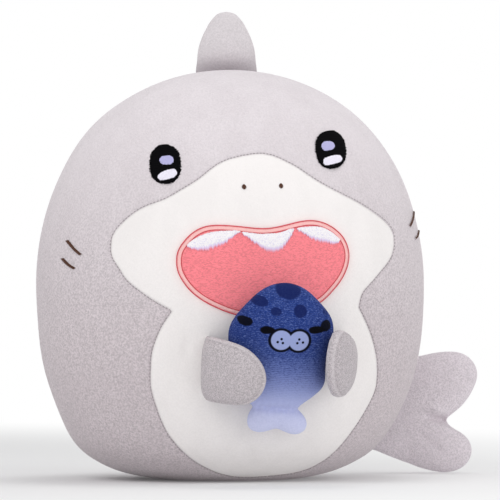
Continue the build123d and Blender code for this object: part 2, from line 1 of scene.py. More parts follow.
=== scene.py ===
import math
import bpy
import numpy as np
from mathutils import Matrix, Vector


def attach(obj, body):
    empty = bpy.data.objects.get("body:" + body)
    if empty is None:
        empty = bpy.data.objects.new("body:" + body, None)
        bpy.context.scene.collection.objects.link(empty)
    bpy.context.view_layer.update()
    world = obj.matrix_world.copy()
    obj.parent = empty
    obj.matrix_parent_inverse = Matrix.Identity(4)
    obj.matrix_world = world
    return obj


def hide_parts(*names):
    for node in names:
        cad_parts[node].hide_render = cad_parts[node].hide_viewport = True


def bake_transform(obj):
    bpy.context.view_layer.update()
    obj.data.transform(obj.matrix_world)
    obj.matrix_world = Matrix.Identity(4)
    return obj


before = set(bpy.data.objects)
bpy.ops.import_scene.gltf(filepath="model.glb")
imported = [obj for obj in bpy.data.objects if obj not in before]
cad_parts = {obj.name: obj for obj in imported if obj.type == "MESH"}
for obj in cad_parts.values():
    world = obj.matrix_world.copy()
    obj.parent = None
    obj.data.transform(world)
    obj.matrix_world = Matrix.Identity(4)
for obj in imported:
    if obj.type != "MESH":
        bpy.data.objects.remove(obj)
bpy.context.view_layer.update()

rng = np.random.default_rng(7)

# ============================================================ outlines, in mm
DEPTH = 0.86
SEAM_Y = 14.0
BODY_PROFILE = [
    (44.0, 0.0), (58.5, 2.0), (74.0, 6.0), (86.5, 12.0), (96.0, 19.0),
    (109.4, 41.0), (120.0, 73.0), (124.4, 108.0), (124.4, 133.0),
    (119.7, 165.0), (108.6, 195.8), (87.3, 226.5), (59.5, 247.0),
    (30.5, 257.8), (0.0, 261.4),
]
PANEL_A = [
    (62.4, 109.5), (65.6, 119.1), (70.0, 123.4), (79.3, 132.2), (88.4, 142.3), (90.7, 150.0),
    (89.8, 157.4), (87.2, 161.2), (81.8, 165.5), (75.8, 169.2), (67.0, 174.0),
    (57.8, 178.3), (44.1, 184.4), (31.0, 191.7), (23.5, 196.7), (15.4, 201.0),
    (7.9, 204.1), (0.4, 205.3), (-11.1, 203.9), (-22.5, 200.8), (-30.8, 196.1), (-38.4, 190.1),
    (-49.5, 183.0), (-59.7, 177.1), (-74.1, 171.0), (-80.4, 166.4), (-85.6, 161.2),
    (-89.9, 155.0), (-91.4, 148.2), (-90.8, 140.7), (-87.4, 133.9), (-83.6, 127.1),
    (-78.1, 121.5), (-66.9, 112.9), (-57.4, 107.3),
]
PANEL_B = [
    (-57.4, 107.3), (-62.7, 98.7), (-66.5, 89.4), (-68.6, 80.1), (-68.8, 70.9), (-68.3, 61.5),
    (-64.7, 49.1), (-57.8, 33.5), (-44.3, 17.8), (-26.7, 7.6), (-9.0, 3.0),
    (5.0, 2.6), (20.0, 3.6), (34.8, 6.0), (48.3, 13.0), (61.8, 28.0), (72.8, 46.0),
    (77.7, 58.0), (78.2, 67.4), (76.4, 79.7), (73.7, 87.8), (70.4, 95.4), (62.4, 109.5),
]
MOUTH = [
    (-36.6, 159.7), (-26.4, 160.4), (-12.9, 159.3), (0.1, 158.5), (10.4, 160.1),
    (19.6, 162.3), (29.6, 163.6), (38.3, 162.1), (45.0, 158.8), (51.1, 153.2),
    (54.4, 146.4), (54.9, 140.2), (52.6, 132.1), (48.4, 125.2), (42.8, 119.0),
    (36.7, 113.5), (26.7, 108.5), (14.9, 105.2), (2.1, 103.3), (-9.2, 103.3),
    (-19.7, 104.9), (-30.0, 108.6), (-37.8, 112.6), (-45.5, 118.4), (-51.4, 125.8),
    (-54.3, 132.6), (-54.8, 138.1), (-53.8, 144.3), (-50.5, 149.8), (-44.4, 156.0),
]
TEETH = {
    "tooth_right": [
        (-47.6, 147.0), (-43.0, 151.9), (-38.2, 154.3), (-33.0, 155.8), (-25.9, 156.5),
        (-16.4, 155.8), (-19.6, 153.6), (-22.6, 151.0), (-27.6, 147.7), (-33.4, 145.4),
        (-40.0, 144.5), (-45.0, 145.2)],
    "tooth_middle": [
        (-15.3, 155.5), (-8.7, 155.2), (-2.5, 154.7), (3.8, 155.0), (10.3, 156.0),
        (17.6, 157.7), (15.9, 153.8), (13.2, 149.9), (10.4, 146.1), (7.3, 144.0),
        (3.8, 143.6), (-1.5, 145.1), (-6.5, 148.2), (-10.8, 151.8)],
    "tooth_left": [
        (19.8, 157.9), (25.0, 159.1), (30.1, 159.5), (35.3, 159.1), (40.4, 157.4),
        (44.8, 154.6), (48.0, 150.6), (44.6, 149.0), (39.6, 149.2), (34.4, 150.1),
        (29.2, 151.8), (24.6, 154.6)],
}
EYES = {
    "eye_left": [
        (58.7, 209.5), (57.8, 204.0), (55.7, 200.1), (52.4, 197.5), (47.5, 196.0),
        (42.7, 196.1), (39.5, 197.8), (37.4, 201.1), (36.7, 206.3), (37.4, 211.7),
        (39.4, 215.6), (42.7, 218.3), (47.8, 219.8), (52.8, 219.8), (56.2, 218.0),
        (58.1, 214.7)],
    "eye_right": [
        (-48.9, 198.3), (-49.8, 192.8), (-51.7, 189.2), (-54.5, 186.8), (-58.6, 185.9),
        (-62.5, 186.6), (-65.1, 188.8), (-66.5, 192.3), (-66.8, 197.8), (-65.8, 203.3),
        (-63.8, 207.0), (-61.0, 209.3), (-57.0, 210.2), (-53.0, 209.5), (-50.5, 207.3),
        (-49.1, 203.7)],
}
GLINTS = {
    "eye_glint_right_upper": [
        (-52.9, 200.6), (-53.4, 198.8), (-54.7, 197.7), (-56.8, 197.1), (-58.9, 197.3),
        (-60.1, 198.2), (-60.5, 200.0), (-60.0, 201.8), (-58.8, 202.9), (-56.7, 203.4),
        (-54.5, 203.3), (-53.3, 202.3)],
    "eye_glint_right_lower": [
        (-51.7, 193.2), (-52.0, 191.4), (-53.6, 189.7), (-56.3, 188.3), (-59.2, 187.6),
        (-61.3, 187.9), (-62.4, 189.2), (-62.1, 191.0), (-60.5, 192.7), (-57.8, 194.2),
        (-54.8, 194.9), (-52.7, 194.6)],
    "eye_glint_left_upper": [
        (49.8, 210.3), (49.1, 208.5), (47.6, 207.3), (45.0, 206.7), (42.6, 206.8),
        (41.2, 207.7), (40.8, 209.4), (41.4, 211.2), (42.9, 212.4), (45.5, 213.0),
        (48.0, 212.9), (49.4, 212.0)],
    "eye_glint_left_lower": [
        (53.9, 202.5), (53.3, 200.8), (51.0, 199.3), (47.5, 198.1), (43.9, 197.6),
        (41.4, 198.1), (40.4, 199.4), (41.0, 201.1), (43.2, 202.6), (46.7, 203.8),
        (50.4, 204.3), (52.9, 203.9)],
}
NOSTRILS = [(-12.2, 183.9), (11.2, 184.6)]
GILLS = {
    "gills_right": [((-112.9, 151.0), (-106.9, 142.3)), ((-115.5, 139.8), (-110.0, 133.6))],
    "gills_left": [((112.5, 170.0), (105.0, 160.7)), ((116.2, 158.0), (109.9, 153.1))],
}
HUG_TILT = math.radians(11.0)
HUG_O = np.array((0.0, -102.0, 73.0))
HUG_Z = np.array((0.0, -math.sin(HUG_TILT), math.cos(HUG_TILT)))
HUG_Y = np.array((0.0, math.cos(HUG_TILT), math.sin(HUG_TILT)))
HUG_X = np.array((1.0, 0.0, 0.0))
R_ARC = [(-39.6, -3.7), (-35.0, -25.0), (-13.0, -40.5)]
L_ARC = [(54.0, 0.9), (47.5, -22.0), (36.0, -41.0)]
R_OUTLINE = [
    (-9.0, -16.0), (0.0, -17.6), (7.2, -18.3), (20.4, -17.6), (30.2, -17.0), (36.7, -16.0),
    (41.2, -13.6), (44.9, -9.7), (47.2, -4.8), (48.0, 0.2), (47.5, 4.4), (45.9, 8.8),
    (42.9, 13.4), (38.3, 17.6), (32.4, 20.4), (25.9, 21.7), (18.2, 22.0), (8.0, 21.2),
    (0.0, 19.6), (-9.0, 17.4),
]
L_OUTLINE = [
    (-9.0, -12.0), (0.0, -13.0), (10.0, -14.0), (20.0, -14.8), (30.0, -15.0), (37.0, -14.0),
    (43.0, -10.4), (47.4, -4.0), (50.0, 4.0), (50.2, 12.0), (48.4, 19.4), (44.6, 25.4),
    (39.4, 27.8), (32.0, 26.4), (22.0, 22.8), (11.0, 19.6), (0.0, 17.0), (-9.0, 15.0),
]
SEAL_HEAD = (5.6, -17.6, 25.0)
SEAL_LEAN = math.radians(4.0)
TAIL_ANGLE = math.radians(-12.3)
TAIL_ROOT = (97.8, 72.2)
TAIL_OUTLINE = [
    (-8.0, 40.0), (0.0, 35.0), (8.0, 27.5), (15.8, 19.9), (24.5, 14.3), (38.3, 6.2),
    (50.8, 2.1), (58.8, 0.8), (68.7, 2.1), (75.3, 6.4), (78.7, 15.0), (76.6, 21.7),
    (71.0, 26.8), (64.4, 31.0), (62.2, 34.6), (65.6, 38.6), (73.3, 45.4),
    (80.0, 55.9), (82.4, 64.6), (80.0, 72.5), (73.3, 78.2), (65.4, 79.8),
    (52.2, 78.6), (43.6, 76.8), (30.0, 74.6), (15.0, 72.6), (0.0, 71.0), (-8.0, 68.5),
]


# ================================================================== helpers
def cubic(points, n=400):
    """A natural cubic spline through points, sampled n times by chord length."""
    p = np.array(points, float)
    t = np.concatenate([[0], np.cumsum(np.linalg.norm(np.diff(p, axis=0), axis=1))])
    m = len(p)
    a = np.zeros((m, m))
    rhs = np.zeros((m, p.shape[1]))
    a[0, 0] = a[-1, -1] = 1.0
    for i in range(1, m - 1):
        h0, h1 = t[i] - t[i - 1], t[i + 1] - t[i]
        a[i, i - 1], a[i, i], a[i, i + 1] = h0, 2 * (h0 + h1), h1
        rhs[i] = 6 * ((p[i + 1] - p[i]) / h1 - (p[i] - p[i - 1]) / h0)
    m2 = np.linalg.solve(a, rhs)
    u = np.linspace(0, t[-1], n)
    k = np.clip(np.searchsorted(t, u) - 1, 0, m - 2)
    h = (t[k + 1] - t[k])[:, None]
    x = (u - t[k])[:, None]
    y = h - x
    return (m2[k] * y ** 3 + m2[k + 1] * x ** 3) / (6 * h) + \
        (p[k] / h - m2[k] * h / 6) * y + (p[k + 1] / h - m2[k + 1] * h / 6) * x


def closed(points, n=400):
    """A closed smooth outline through points, evenly spaced."""
    p = list(points)
    k = 5
    q = cubic(p[-k:] + p + p[:k + 1], 6000)
    a, b = np.array(p[0]), None
    d = np.linalg.norm(q - a, axis=1)
    first = int(np.argmin(d[:3000]))
    last = 3000 + int(np.argmin(d[3000:]))
    q = q[first:last]
    return even(np.vstack([q, q[:1]]), n, True)


def even(q, n, loop=False):
    s = np.concatenate([[0], np.cumsum(np.linalg.norm(np.diff(q, axis=0), axis=1))])
    u = np.linspace(0, s[-1], n + 1)[:-1] if loop else np.linspace(0, s[-1], n)
    return np.stack([np.interp(u, s, q[:, i]) for i in range(q.shape[1])], 1)


def inside(poly, x, z):
    hit = np.zeros(x.shape, bool)
    n = len(poly)
    for i in range(n):
        x0, z0 = poly[i]
        x1, z1 = poly[(i + 1) % n]
        if z0 == z1:
            continue
        c = (z0 > z) != (z1 > z)
        hit ^= c & (x < (x1 - x0) * (z - z0) / (z1 - z0) + x0)
    return hit


def distance(poly, x, z):
    best = np.full(x.shape, 1e9)
    n = len(poly)
    for i in range(n):
        a, b = poly[i], poly[(i + 1) % n]
        d = b - a
        l2 = max(float(d @ d), 1e-12)
        t = np.clip(((x - a[0]) * d[0] + (z - a[1]) * d[1]) / l2, 0, 1)
        best = np.minimum(best, (x - a[0] - t * d[0]) ** 2 + (z - a[1] - t * d[1]) ** 2)
    return np.sqrt(best)


class Field:
    """Signed distance to an outline, positive inside, read from a table."""

    def __init__(self, poly, cell=0.8, margin=16.0):
        self.lo = poly.min(0) - margin
        size = poly.max(0) + margin - self.lo
        self.cell = cell
        nx, nz = (size / cell).astype(int) + 2
        gx, gz = np.meshgrid(self.lo[0] + np.arange(nx) * cell,
                             self.lo[1] + np.arange(nz) * cell, indexing="ij")
        self.v = distance(poly, gx, gz) * np.where(inside(poly, gx, gz), 1.0, -1.0)

    def __call__(self, x, z):
        fx = np.clip((x - self.lo[0]) / self.cell, 0, self.v.shape[0] - 1.001)
        fz = np.clip((z - self.lo[1]) / self.cell, 0, self.v.shape[1] - 1.001)
        i, j = fx.astype(int), fz.astype(int)
        a, b = fx - i, fz - j
        v = self.v
        return (v[i, j] * (1 - a) * (1 - b) + v[i + 1, j] * a * (1 - b)
                + v[i, j + 1] * (1 - a) * b + v[i + 1, j + 1] * a * b)

    def on_surface(self, x, z, normal):
        e = 0.8
        v = self(x, z)
        gx = (self(x + e, z) - self(x - e, z)) / (2 * e)
        gz = (self(x, z + e) - self(x, z - e)) / (2 * e)
        size = np.maximum(np.hypot(gx, gz), 1e-6)
        dot = (gx * normal[:, 0] + gz * normal[:, 2]) / size
        return v / np.sqrt(np.clip(1 - dot * dot, 0.09, 1.0))


def unit(v):
    return v / np.maximum(np.linalg.norm(v, axis=-1, keepdims=True), 1e-12)


WAVES = [(rng.normal(size=3) * f, rng.uniform(0, 6.28), 1.0 / (1 + i * 0.15))
         for i, f in enumerate([0.018, 0.02, 0.025, 0.03, 0.035, 0.045, 0.05, 0.06])]


def lumps(p, scale=1.0):
    """A smooth low unevenness, about -1 to 1."""
    total = np.zeros(len(p))
    for k, ph, a in WAVES:
        total += a * np.sin(p @ (k * scale) + ph)
    return total / 4.0


def mesh_piece(name, verts_mm, faces, mats, smooth=True, attrs=None, face_mat=None):
    me = bpy.data.meshes.new(name)
    me.from_pydata((np.asarray(verts_mm) / 1000.0).tolist(), [],
                   [list(map(int, f)) for f in faces])
    me.validate()
    me.update()
    for m in (mats if isinstance(mats, (list, tuple)) else [mats]):
        me.materials.append(m)
    me.polygons.foreach_set("use_smooth", [smooth] * len(me.polygons))
    for key, val in (attrs or {}).items():
        val = np.asarray(val, np.float32)
        kind = "FLOAT_VECTOR" if val.ndim == 2 else "FLOAT"
        at = me.attributes.new(key, kind, "POINT")
        at.data.foreach_set("vector" if val.ndim == 2 else "value", val.ravel())
    ob = bpy.data.objects.new(name, me)
    bpy.context.scene.collection.objects.link(ob)
    return ob


def recalc(ob):
    import bmesh
    bm = bmesh.new()
    bm.from_mesh(ob.data)
    bmesh.ops.recalc_face_normals(bm, faces=bm.faces)
    bm.to_mesh(ob.data)
    bm.free()


# ============================================================ body surface
curve = cubic(BODY_PROFILE + [(-x, z) for x, z in BODY_PROFILE[-2::-1]], 8001)
half = curve[:4001]
half[-1, 0] = 0.0
tan_p = np.gradient(half, axis=0)
tan_p = unit(tan_p)
CZ = 115.0
disc_r = np.linspace(0, 44.0, 60)[:-1]
tab_r = np.concatenate([disc_r, half[:, 0]])
tab_z = np.concatenate([np.zeros(59), half[:, 1]])
tab_tr = np.concatenate([np.ones(59), tan_p[:, 0]])
tab_tz = np.concatenate([np.zeros(59), tan_p[:, 1]])
tab_b = np.arctan2(tab_z - CZ, tab_r)
order = np.argsort(tab_b, kind="stable")
tab_b, tab_r, tab_z, tab_tr, tab_tz = (a[order] for a in (tab_b, tab_r, tab_z, tab_tr, tab_tz))
MIN_Z = half[np.argsort(half[:, 1])]


def width_at(z):
    return np.interp(z, MIN_Z[:, 1], MIN_Z[:, 0])


PULL_Z = np.array([0.0, 2.0, 5.0, 9.0, 14.0, 21.0, 31.0, 41.0, 60.0, 400.0])
PULL_K = np.array([0.13, 0.12, 0.088, 0.064, 0.046, 0.038, 0.024, 0.012, 0.0, 0.0])


def settle(p):
    """The lower left side of the shark is slacker and rounds in sooner."""
    q = np.array(p, float)
    w = np.clip(q[:, 0] / 90.0, 0, 1)
    w = w * w * (3 - 2 * w)
    q[:, 0] *= 1 - np.interp(q[:, 2], PULL_Z, PULL_K) * w
    return q


def at_front(x, z, lift=0.0):
    """Point and normal of the body's front surface at (x, z)."""
    x, z = np.asarray(x, float), np.asarray(z, float)
    r = width_at(z)
    slope = (width_at(z + 0.5) - width_at(z - 0.5))
    y = -DEPTH * np.sqrt(np.maximum(r * r - x * x, 1.0))
    n = unit(np.stack([x, y / DEPTH ** 2, -r * slope], -1))
    p = np.stack([x, y, z], -1)
    return p + n * np.asarray(lift)[..., None], n


panel_outline = np.vstack([even(cubic(PANEL_A, 900), 420)[:-1], even(cubic(PANEL_B, 900), 420)[:-1]])
mouth_outline = closed(MOUTH, 700)
panel_field = Field(panel_outline[::2], 0.9)
mouth_field = Field(mouth_outline[::2], 0.8, 22.0)

# ============================================================== materials


def new_mat(name):
    m = bpy.data.materials.new(name)
    m.use_nodes = True
    nt = m.node_tree
    nt.nodes.clear()
    out = nt.nodes.new("ShaderNodeOutputMaterial")
    b = nt.nodes.new("ShaderNodeBsdfPrincipled")
    nt.links.new(b.outputs[0], out.inputs[0])
    return m, nt, b


def srgb(r, g, b):
    f = lambda c: c / 12.92 if c <= 0.04045 else ((c + 0.055) / 1.055) ** 2.4
    return tuple(f(c / 255.0) for c in (r, g, b)) + (1.0,)


def noise(nt, coord, scale, detail=3.0, rough=0.55, stretch=None):
    n = nt.nodes.new("ShaderNodeTexNoise")
    n.inputs["Scale"].default_value = scale
    n.inputs["Detail"].default_value = detail
    n.inputs["Roughness"].default_value = rough
    if stretch:
        mp = nt.nodes.new("ShaderNodeMapping")
        mp.inputs["Scale"].default_value = stretch
        nt.links.new(coord, mp.inputs["Vector"])
        coord = mp.outputs[0]
    nt.links.new(coord, n.inputs["Vector"])
    return n.outputs["Fac"]


def ramp(nt, fac, lo, hi, a=0.0, b=1.0):
    r = nt.nodes.new("ShaderNodeMapRange")
    r.interpolation_type = "SMOOTHSTEP"
    r.inputs["From Min"].default_value = lo
    r.inputs["From Max"].default_value = hi
    r.inputs["To Min"].default_value = a
    r.inputs["To Max"].default_value = b
    nt.links.new(fac, r.inputs["Value"])
    return r.outputs[0]


def mix(nt, fac, a, b):
    m = nt.nodes.new("ShaderNodeMix")
    m.data_type = "RGBA"
    if isinstance(fac, float):
        m.inputs[0].default_value = fac
    else:
        nt.links.new(fac, m.inputs[0])
    for sock, v in ((m.inputs[6], a), (m.inputs[7], b)):
        if isinstance(v, tuple):
            sock.default_value = v
        else:
            nt.links.new(v, sock)
    return m.outputs[2]


def math_node(nt, op, a, b=None):
    m = nt.nodes.new("ShaderNodeMath")
    m.operation = op
    for i, v in enumerate((a, b)):
        if v is None:
            continue
        if isinstance(v, (int, float)):
            m.inputs[i].default_value = v
        else:
            nt.links.new(v, m.inputs[i])
    return m.outputs[0]


def attribute(nt, name, vector=False):
    a = nt.nodes.new("ShaderNodeAttribute")
    a.attribute_name = name
    return a.outputs["Vector" if vector else "Fac"]


def shade(c, k):
    return tuple(min(1.0, v * k) for v in c[:3]) + (1.0,)


def plush_finish(nt, b, coord, pile=0.4, nap=0.25, sheen=0.35, tint=(1, 1, 1, 1), spec=0.15, grain=820.0,
                 stretch=None):
    fine = noise(nt, coord, grain, 3.0, 0.72, stretch)
    mid = noise(nt, coord, 330.0, 3.0, 0.6)
    brushed = noise(nt, coord, 60.0, 2.0, 0.5, (1.0, 1.0, 0.45))
    height = math_node(nt, "ADD", math_node(nt, "MULTIPLY", fine, 0.6),
                       math_node(nt, "MULTIPLY", mid, 0.8))
    height = math_node(nt, "ADD", height, math_node(nt, "MULTIPLY", brushed, nap * 4))
    bump = nt.nodes.new("ShaderNodeBump")
    bump.inputs["Strength"].default_value = pile
    bump.inputs["Distance"].default_value = 0.0011
    nt.links.new(height, bump.inputs["Height"])
    nt.links.new(bump.outputs[0], b.inputs["Normal"])
    b.inputs["Roughness"].default_value = 0.92
    b.inputs["Specular IOR Level"].default_value = spec
    b.inputs["Sheen Weight"].default_value = sheen
    b.inputs["Sheen Roughness"].default_value = 0.42
    b.inputs["Sheen Tint"].default_value = tint
    return fine, mid, brushed


def plush(name, colour, dark=0.80, light=1.10, sheen=0.22, pile=0.75, extra=None, lit_top=None,
          calm=0.0, crown=0.30, grain=820.0, stretch=None, blotch=0.16):
    """Short pile fabric. The optional top colour is painted light: the top of
    the body turns lighter up to the height crown, as if lit from above, and calm is how much the pile's contrast
    fades there."""
    m, nt, b = new_mat(name)
    tc = nt.nodes.new("ShaderNodeTexCoord")
    coord = tc.outputs["Object"]
    fine, mid, brushed = plush_finish(nt, b, coord, pile, sheen=sheen, grain=grain, stretch=stretch)
    flat = colour
    # painted light: the colour blends towards a lighter one with height, as if the top were lit from above
    if lit_top:
        sep = nt.nodes.new("ShaderNodeSeparateXYZ")
        nt.links.new(coord, sep.inputs[0])
        flat = mix(nt, ramp(nt, sep.outputs[2], 0.05, crown), colour, lit_top)
    scale = nt.nodes.new("ShaderNodeVectorMath")
    scale.operation = "SCALE"
    scale.inputs["Scale"].default_value = dark
    over_ = nt.nodes.new("ShaderNodeVectorMath")
    over_.operation = "SCALE"
    over_.inputs["Scale"].default_value = light
    for node in (scale, over_):
        if isinstance(flat, tuple):
            node.inputs[0].default_value = flat[:3]
        else:
            nt.links.new(flat, node.inputs[0])
    c = mix(nt, ramp(nt, fine, 0.38, 0.62), scale.outputs[0], over_.outputs[0])
    if calm:
        sep2 = nt.nodes.new("ShaderNodeSeparateXYZ")
        nt.links.new(coord, sep2.inputs[0])
        c = mix(nt, ramp(nt, sep2.outputs[2], 0.10, 0.22, 0.0, calm), c, flat)
    c = mix(nt, ramp(nt, mid, 0.35, 0.7, 0.0, 0.30), c, flat)
    c = mix(nt, ramp(nt, brushed, 0.35, 0.68, 0.0, blotch), c, shade(colour, 0.84))
    if extra:
        c = extra(nt, c, coord)
    nt.links.new(c, b.inputs["Base Color"])
    return m


def thread(name, colour, rough=0.38, extra=None, sheen=0.2, spec=0.35):
    m, nt, b = new_mat(name)
    tc = nt.nodes.new("ShaderNodeTexCoord")
    coord = tc.outputs["Object"]
    fac = noise(nt, coord, 2600.0, 2.0, 0.6)
    big = noise(nt, coord, 400.0, 2.0, 0.5)
    c = mix(nt, ramp(nt, fac, 0.3, 0.7), shade(colour, 0.86), shade(colour, 1.06))
    c = mix(nt, ramp(nt, big, 0.35, 0.7, 0.0, 0.4), c, shade(colour, 0.92))
    if extra:
        c = extra(nt, c, coord)
    nt.links.new(c, b.inputs["Base Color"])
    bump = nt.nodes.new("ShaderNodeBump")
    bump.inputs["Strength"].default_value = 0.3
    bump.inputs["Distance"].default_value = 0.00015
    nt.links.new(fac, bump.inputs["Height"])
    nt.links.new(bump.outputs[0], b.inputs["Normal"])
    b.inputs["Roughness"].default_value = rough
    b.inputs["Specular IOR Level"].default_value = spec
    b.inputs["Sheen Weight"].default_value = sheen
    b.inputs["Sheen Roughness"].default_value = 0.3
    return m


GREY = srgb(213, 204, 208)
WHITE = srgb(243, 239, 238)
CORAL = srgb(255, 143, 150)
# the body's grey turns lighter at the top: painted light from above
m_grey = plush("plush_grey", srgb(207, 197, 201), 0.77, 1.12, 0.20, 0.7, None, srgb(227, 220, 224), 0.75, 0.26,
               blotch=0.12)


def panel_halo(nt, c, coord):
    c = mix(nt, attribute(nt, "halo"), c, srgb(250, 216, 214))
    return mix(nt, attribute(nt, "edge"), c, srgb(206, 199, 202))




def limb_rim_painted_light(nt, c, coord):
    # painted shade in the groove inside the flipper's rim seam and a painted highlight on the lip beside it
    c = mix(nt, attribute(nt, "groove_shade"), c, srgb(158, 148, 153))
    return mix(nt, attribute(nt, "lip"), c, srgb(226, 219, 222))


m_limb = plush("plush_grey_flipper", srgb(203, 195, 199), 0.66, 1.20, 0.20, 1.0, limb_rim_painted_light, grain=1250.0)
# painted shade: the tail darkens next to the body's side and lower down, where the body shades it
def tail_shade(nt, c, coord):
    return mix(nt, attribute(nt, "tail_root_shade"), c, srgb(134, 125, 134))


# the tail's grey is lighter than the body's grey: painted light standing in for light on the tail
m_tail = plush("plush_grey_tail_painted_light", srgb(230, 221, 227), 0.81, 1.10, 0.22, 0.9, tail_shade, grain=950.0)


def fin_root_shade(nt, c, coord):
    # painted shade: the fin darkens towards its base, where it is pinched into the seam
    sep = nt.nodes.new("ShaderNodeSeparateXYZ")
    nt.links.new(coord, sep.inputs[0])
    return mix(nt, ramp(nt, sep.outputs[2], 0.2615, 0.2740, 0.42, 0.0), c, srgb(136, 127, 134))


m_fin = plush("plush_grey_fin", srgb(214, 208, 211), 0.90, 1.05, 0.18, 0.35, fin_root_shade)
m_white = plush("plush_white", WHITE, 0.965, 1.01, 0.15, 0.28, panel_halo, WHITE, 0.8)


def mouth_rim(nt, c, coord):
    return mix(nt, attribute(nt, "rim"), c, srgb(253, 208, 205))


m_coral = plush("mouth_coral", srgb(255, 140, 148), 0.82, 1.12, 0.10, 0.7, mouth_rim, grain=1000.0,
                stretch=(0.55, 0.55, 1.3))
m_tcoral = thread("thread_coral", srgb(222, 76, 88))
m_black = thread("thread_black", srgb(10, 9, 12), 0.7, sheen=0.0, spec=0.03)
m_lav = thread("thread_lavender", srgb(186, 183, 226))
m_white_t = thread("thread_white_glint", srgb(240, 236, 250))


def tooth_tip(nt, c, coord):
    sp = noise(nt, coord, 1300.0, 2.0, 0.6)
    c = mix(nt, ramp(nt, sp, 0.52, 0.64, 0.0, 0.55), c, srgb(206, 200, 230))
    c = mix(nt, ramp(nt, attribute(nt, "along"), 0.66, 0.86), c, srgb(220, 206, 238))
    return mix(nt, ramp(nt, attribute(nt, "along"), 0.80, 1.0), c, srgb(252, 156, 170))


m_tooth = thread("thread_white", srgb(252, 247, 251), 0.4, tooth_tip)
m_brown = thread("thread_brown", srgb(92, 62, 50), 0.5, sheen=0.05, spec=0.15)
m_stitch = thread("thread_seam_grey", srgb(150, 142, 146), 0.6)

# ================================================================ the body
N = 150


def cube_sphere(n):
    g = np.tan(np.linspace(-1, 1, n + 1) * math.pi / 4)
    a, b = np.meshgrid(g, g, indexing="ij")
    one = np.ones_like(a)
    sides = [(a, -one, b), (-a, one, b), (one, a, b), (-one, -a, b), (a, b, one), (a, -b, -one)]
    pts, quads, base = [], [], 0
    idx = np.arange((n + 1) ** 2).reshape(n + 1, n + 1)
    for s in sides:
        pts.append(np.stack([q.ravel() for q in s], 1))
        q = np.stack([idx[:-1, :-1], idx[1:, :-1], idx[1:, 1:], idx[:-1, 1:]], -1).reshape(-1, 4)
        quads.append(q + base)
        base += (n + 1) ** 2
    d = unit(np.vstack(pts))
    q = np.vstack(quads)
    key = np.round(d * 2e5).astype(np.int64)
    _, first, inv = np.unique(key, axis=0, return_index=True, return_inverse=True)
    return d[first], inv.reshape(-1)[q]


dirs, quads = cube_sphere(N)
beta = np.arctan2(dirs[:, 2], np.hypot(dirs[:, 0], dirs[:, 1]))
r = np.interp(beta, tab_b, tab_r)
zz = np.interp(beta, tab_b, tab_z)
tr = np.interp(beta, tab_b, tab_tr)
tz = np.interp(beta, tab_b, tab_tz)
ang = np.arctan2(dirs[:, 0], -dirs[:, 1])
px, py = r * np.sin(ang), -r * np.cos(ang) * DEPTH
P = np.stack([px, py, zz], 1)
nrm = unit(np.stack([np.sin(ang) * tz, -np.cos(ang) * tz / DEPTH, -tr], 1))
front = py < 30.0
phi_p = np.where(py < 0, panel_field.on_surface(px, zz, nrm), -30.0)
phi_m = np.where(py < 0, mouth_field.on_surface(px, zz, nrm), -30.0)
gy = np.sqrt(np.clip(1 - nrm[:, 1] ** 2, 0.05, 1))
phi_s = (SEAM_Y - py) / gy            # positive in front of the side seam

base = 0.55 * lumps(P)
pucker = 0.5 + 0.5 * np.sin(px * 0.9 + zz * 1.1 + 2 * np.sin(zz * 0.13))


def seam_depth(phi, depth, width, over):
    """How deep a cover dives at its seam: 0 far away, and deeper beyond it."""
    inner = depth * np.exp(-np.maximum(phi, 0) / width)
    return np.where(phi >= 0, inner, depth + over * -phi)


TUCKS = [((-48.0, 85.5), 7.0, 0.9), ((44.5, 84.0), 7.0, 0.9), ((-3.0, 14.5), 8.0, 0.6)]
tuck = np.zeros(len(P))
for (tx, tzz), size, deep in TUCKS:
    tuck += deep * np.exp(-(((px - tx) / (size * 0.45)) ** 2 + ((zz - tzz) / size) ** 2)) * (py < 0)

side_close = np.exp(-np.abs(phi_s) / 3.0)
panel_close = np.exp(-np.abs(phi_p) / 2.5)
common = base + 0.18 * pucker * (side_close + panel_close * 0.8) - tuck


def cover(name, keep, disp, mat, attrs, body_nodes):
    q = settle(P + nrm * disp[:, None])
    q[:, 2] = np.maximum(q[:, 2], 0.0)
    f = quads[keep[quads].all(1)]
    used = np.unique(f)
    remap = -np.ones(len(P), int)
    remap[used] = np.arange(len(used))
    ob = mesh_piece(name, q[used], remap[f], mat, attrs={k: v[used] for k, v in attrs.items()})
    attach(ob, "body")
    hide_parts(*body_nodes)
    return ob


over = 1.15
d_panel = common - seam_depth(phi_p, 0.9, 1.5, over)
halo = np.where(phi_m < 0, np.exp(-np.maximum(-phi_m - 0.2, 0) / 2.6), 1.0) * 0.38
edge = np.exp(-(np.maximum(phi_p, 0) / 0.55) ** 2) * 0.8
cover("body_white_panel", (phi_p > -2.2) & (py < 0), d_panel, m_white,
      {"halo": halo, "edge": edge}, ["face_belly_panel"])
d_front = common - seam_depth(-phi_p, 0.9, 1.5, over) - seam_depth(phi_s, 0.8, 1.6, over)
d_front = np.where(py < 0, d_front, common - seam_depth(phi_s, 0.8, 1.6, over))
cover("body_front_cover", (phi_p < 2.2) & (phi_s > -2.2), d_front, m_grey, {},
      ["front_shell", "body_stuffing"])
d_back = common - seam_depth(-phi_s, 0.8, 1.6, over)
cover("body_back_cover", phi_s < 2.2, d_back, m_grey, {}, ["back_shell"])


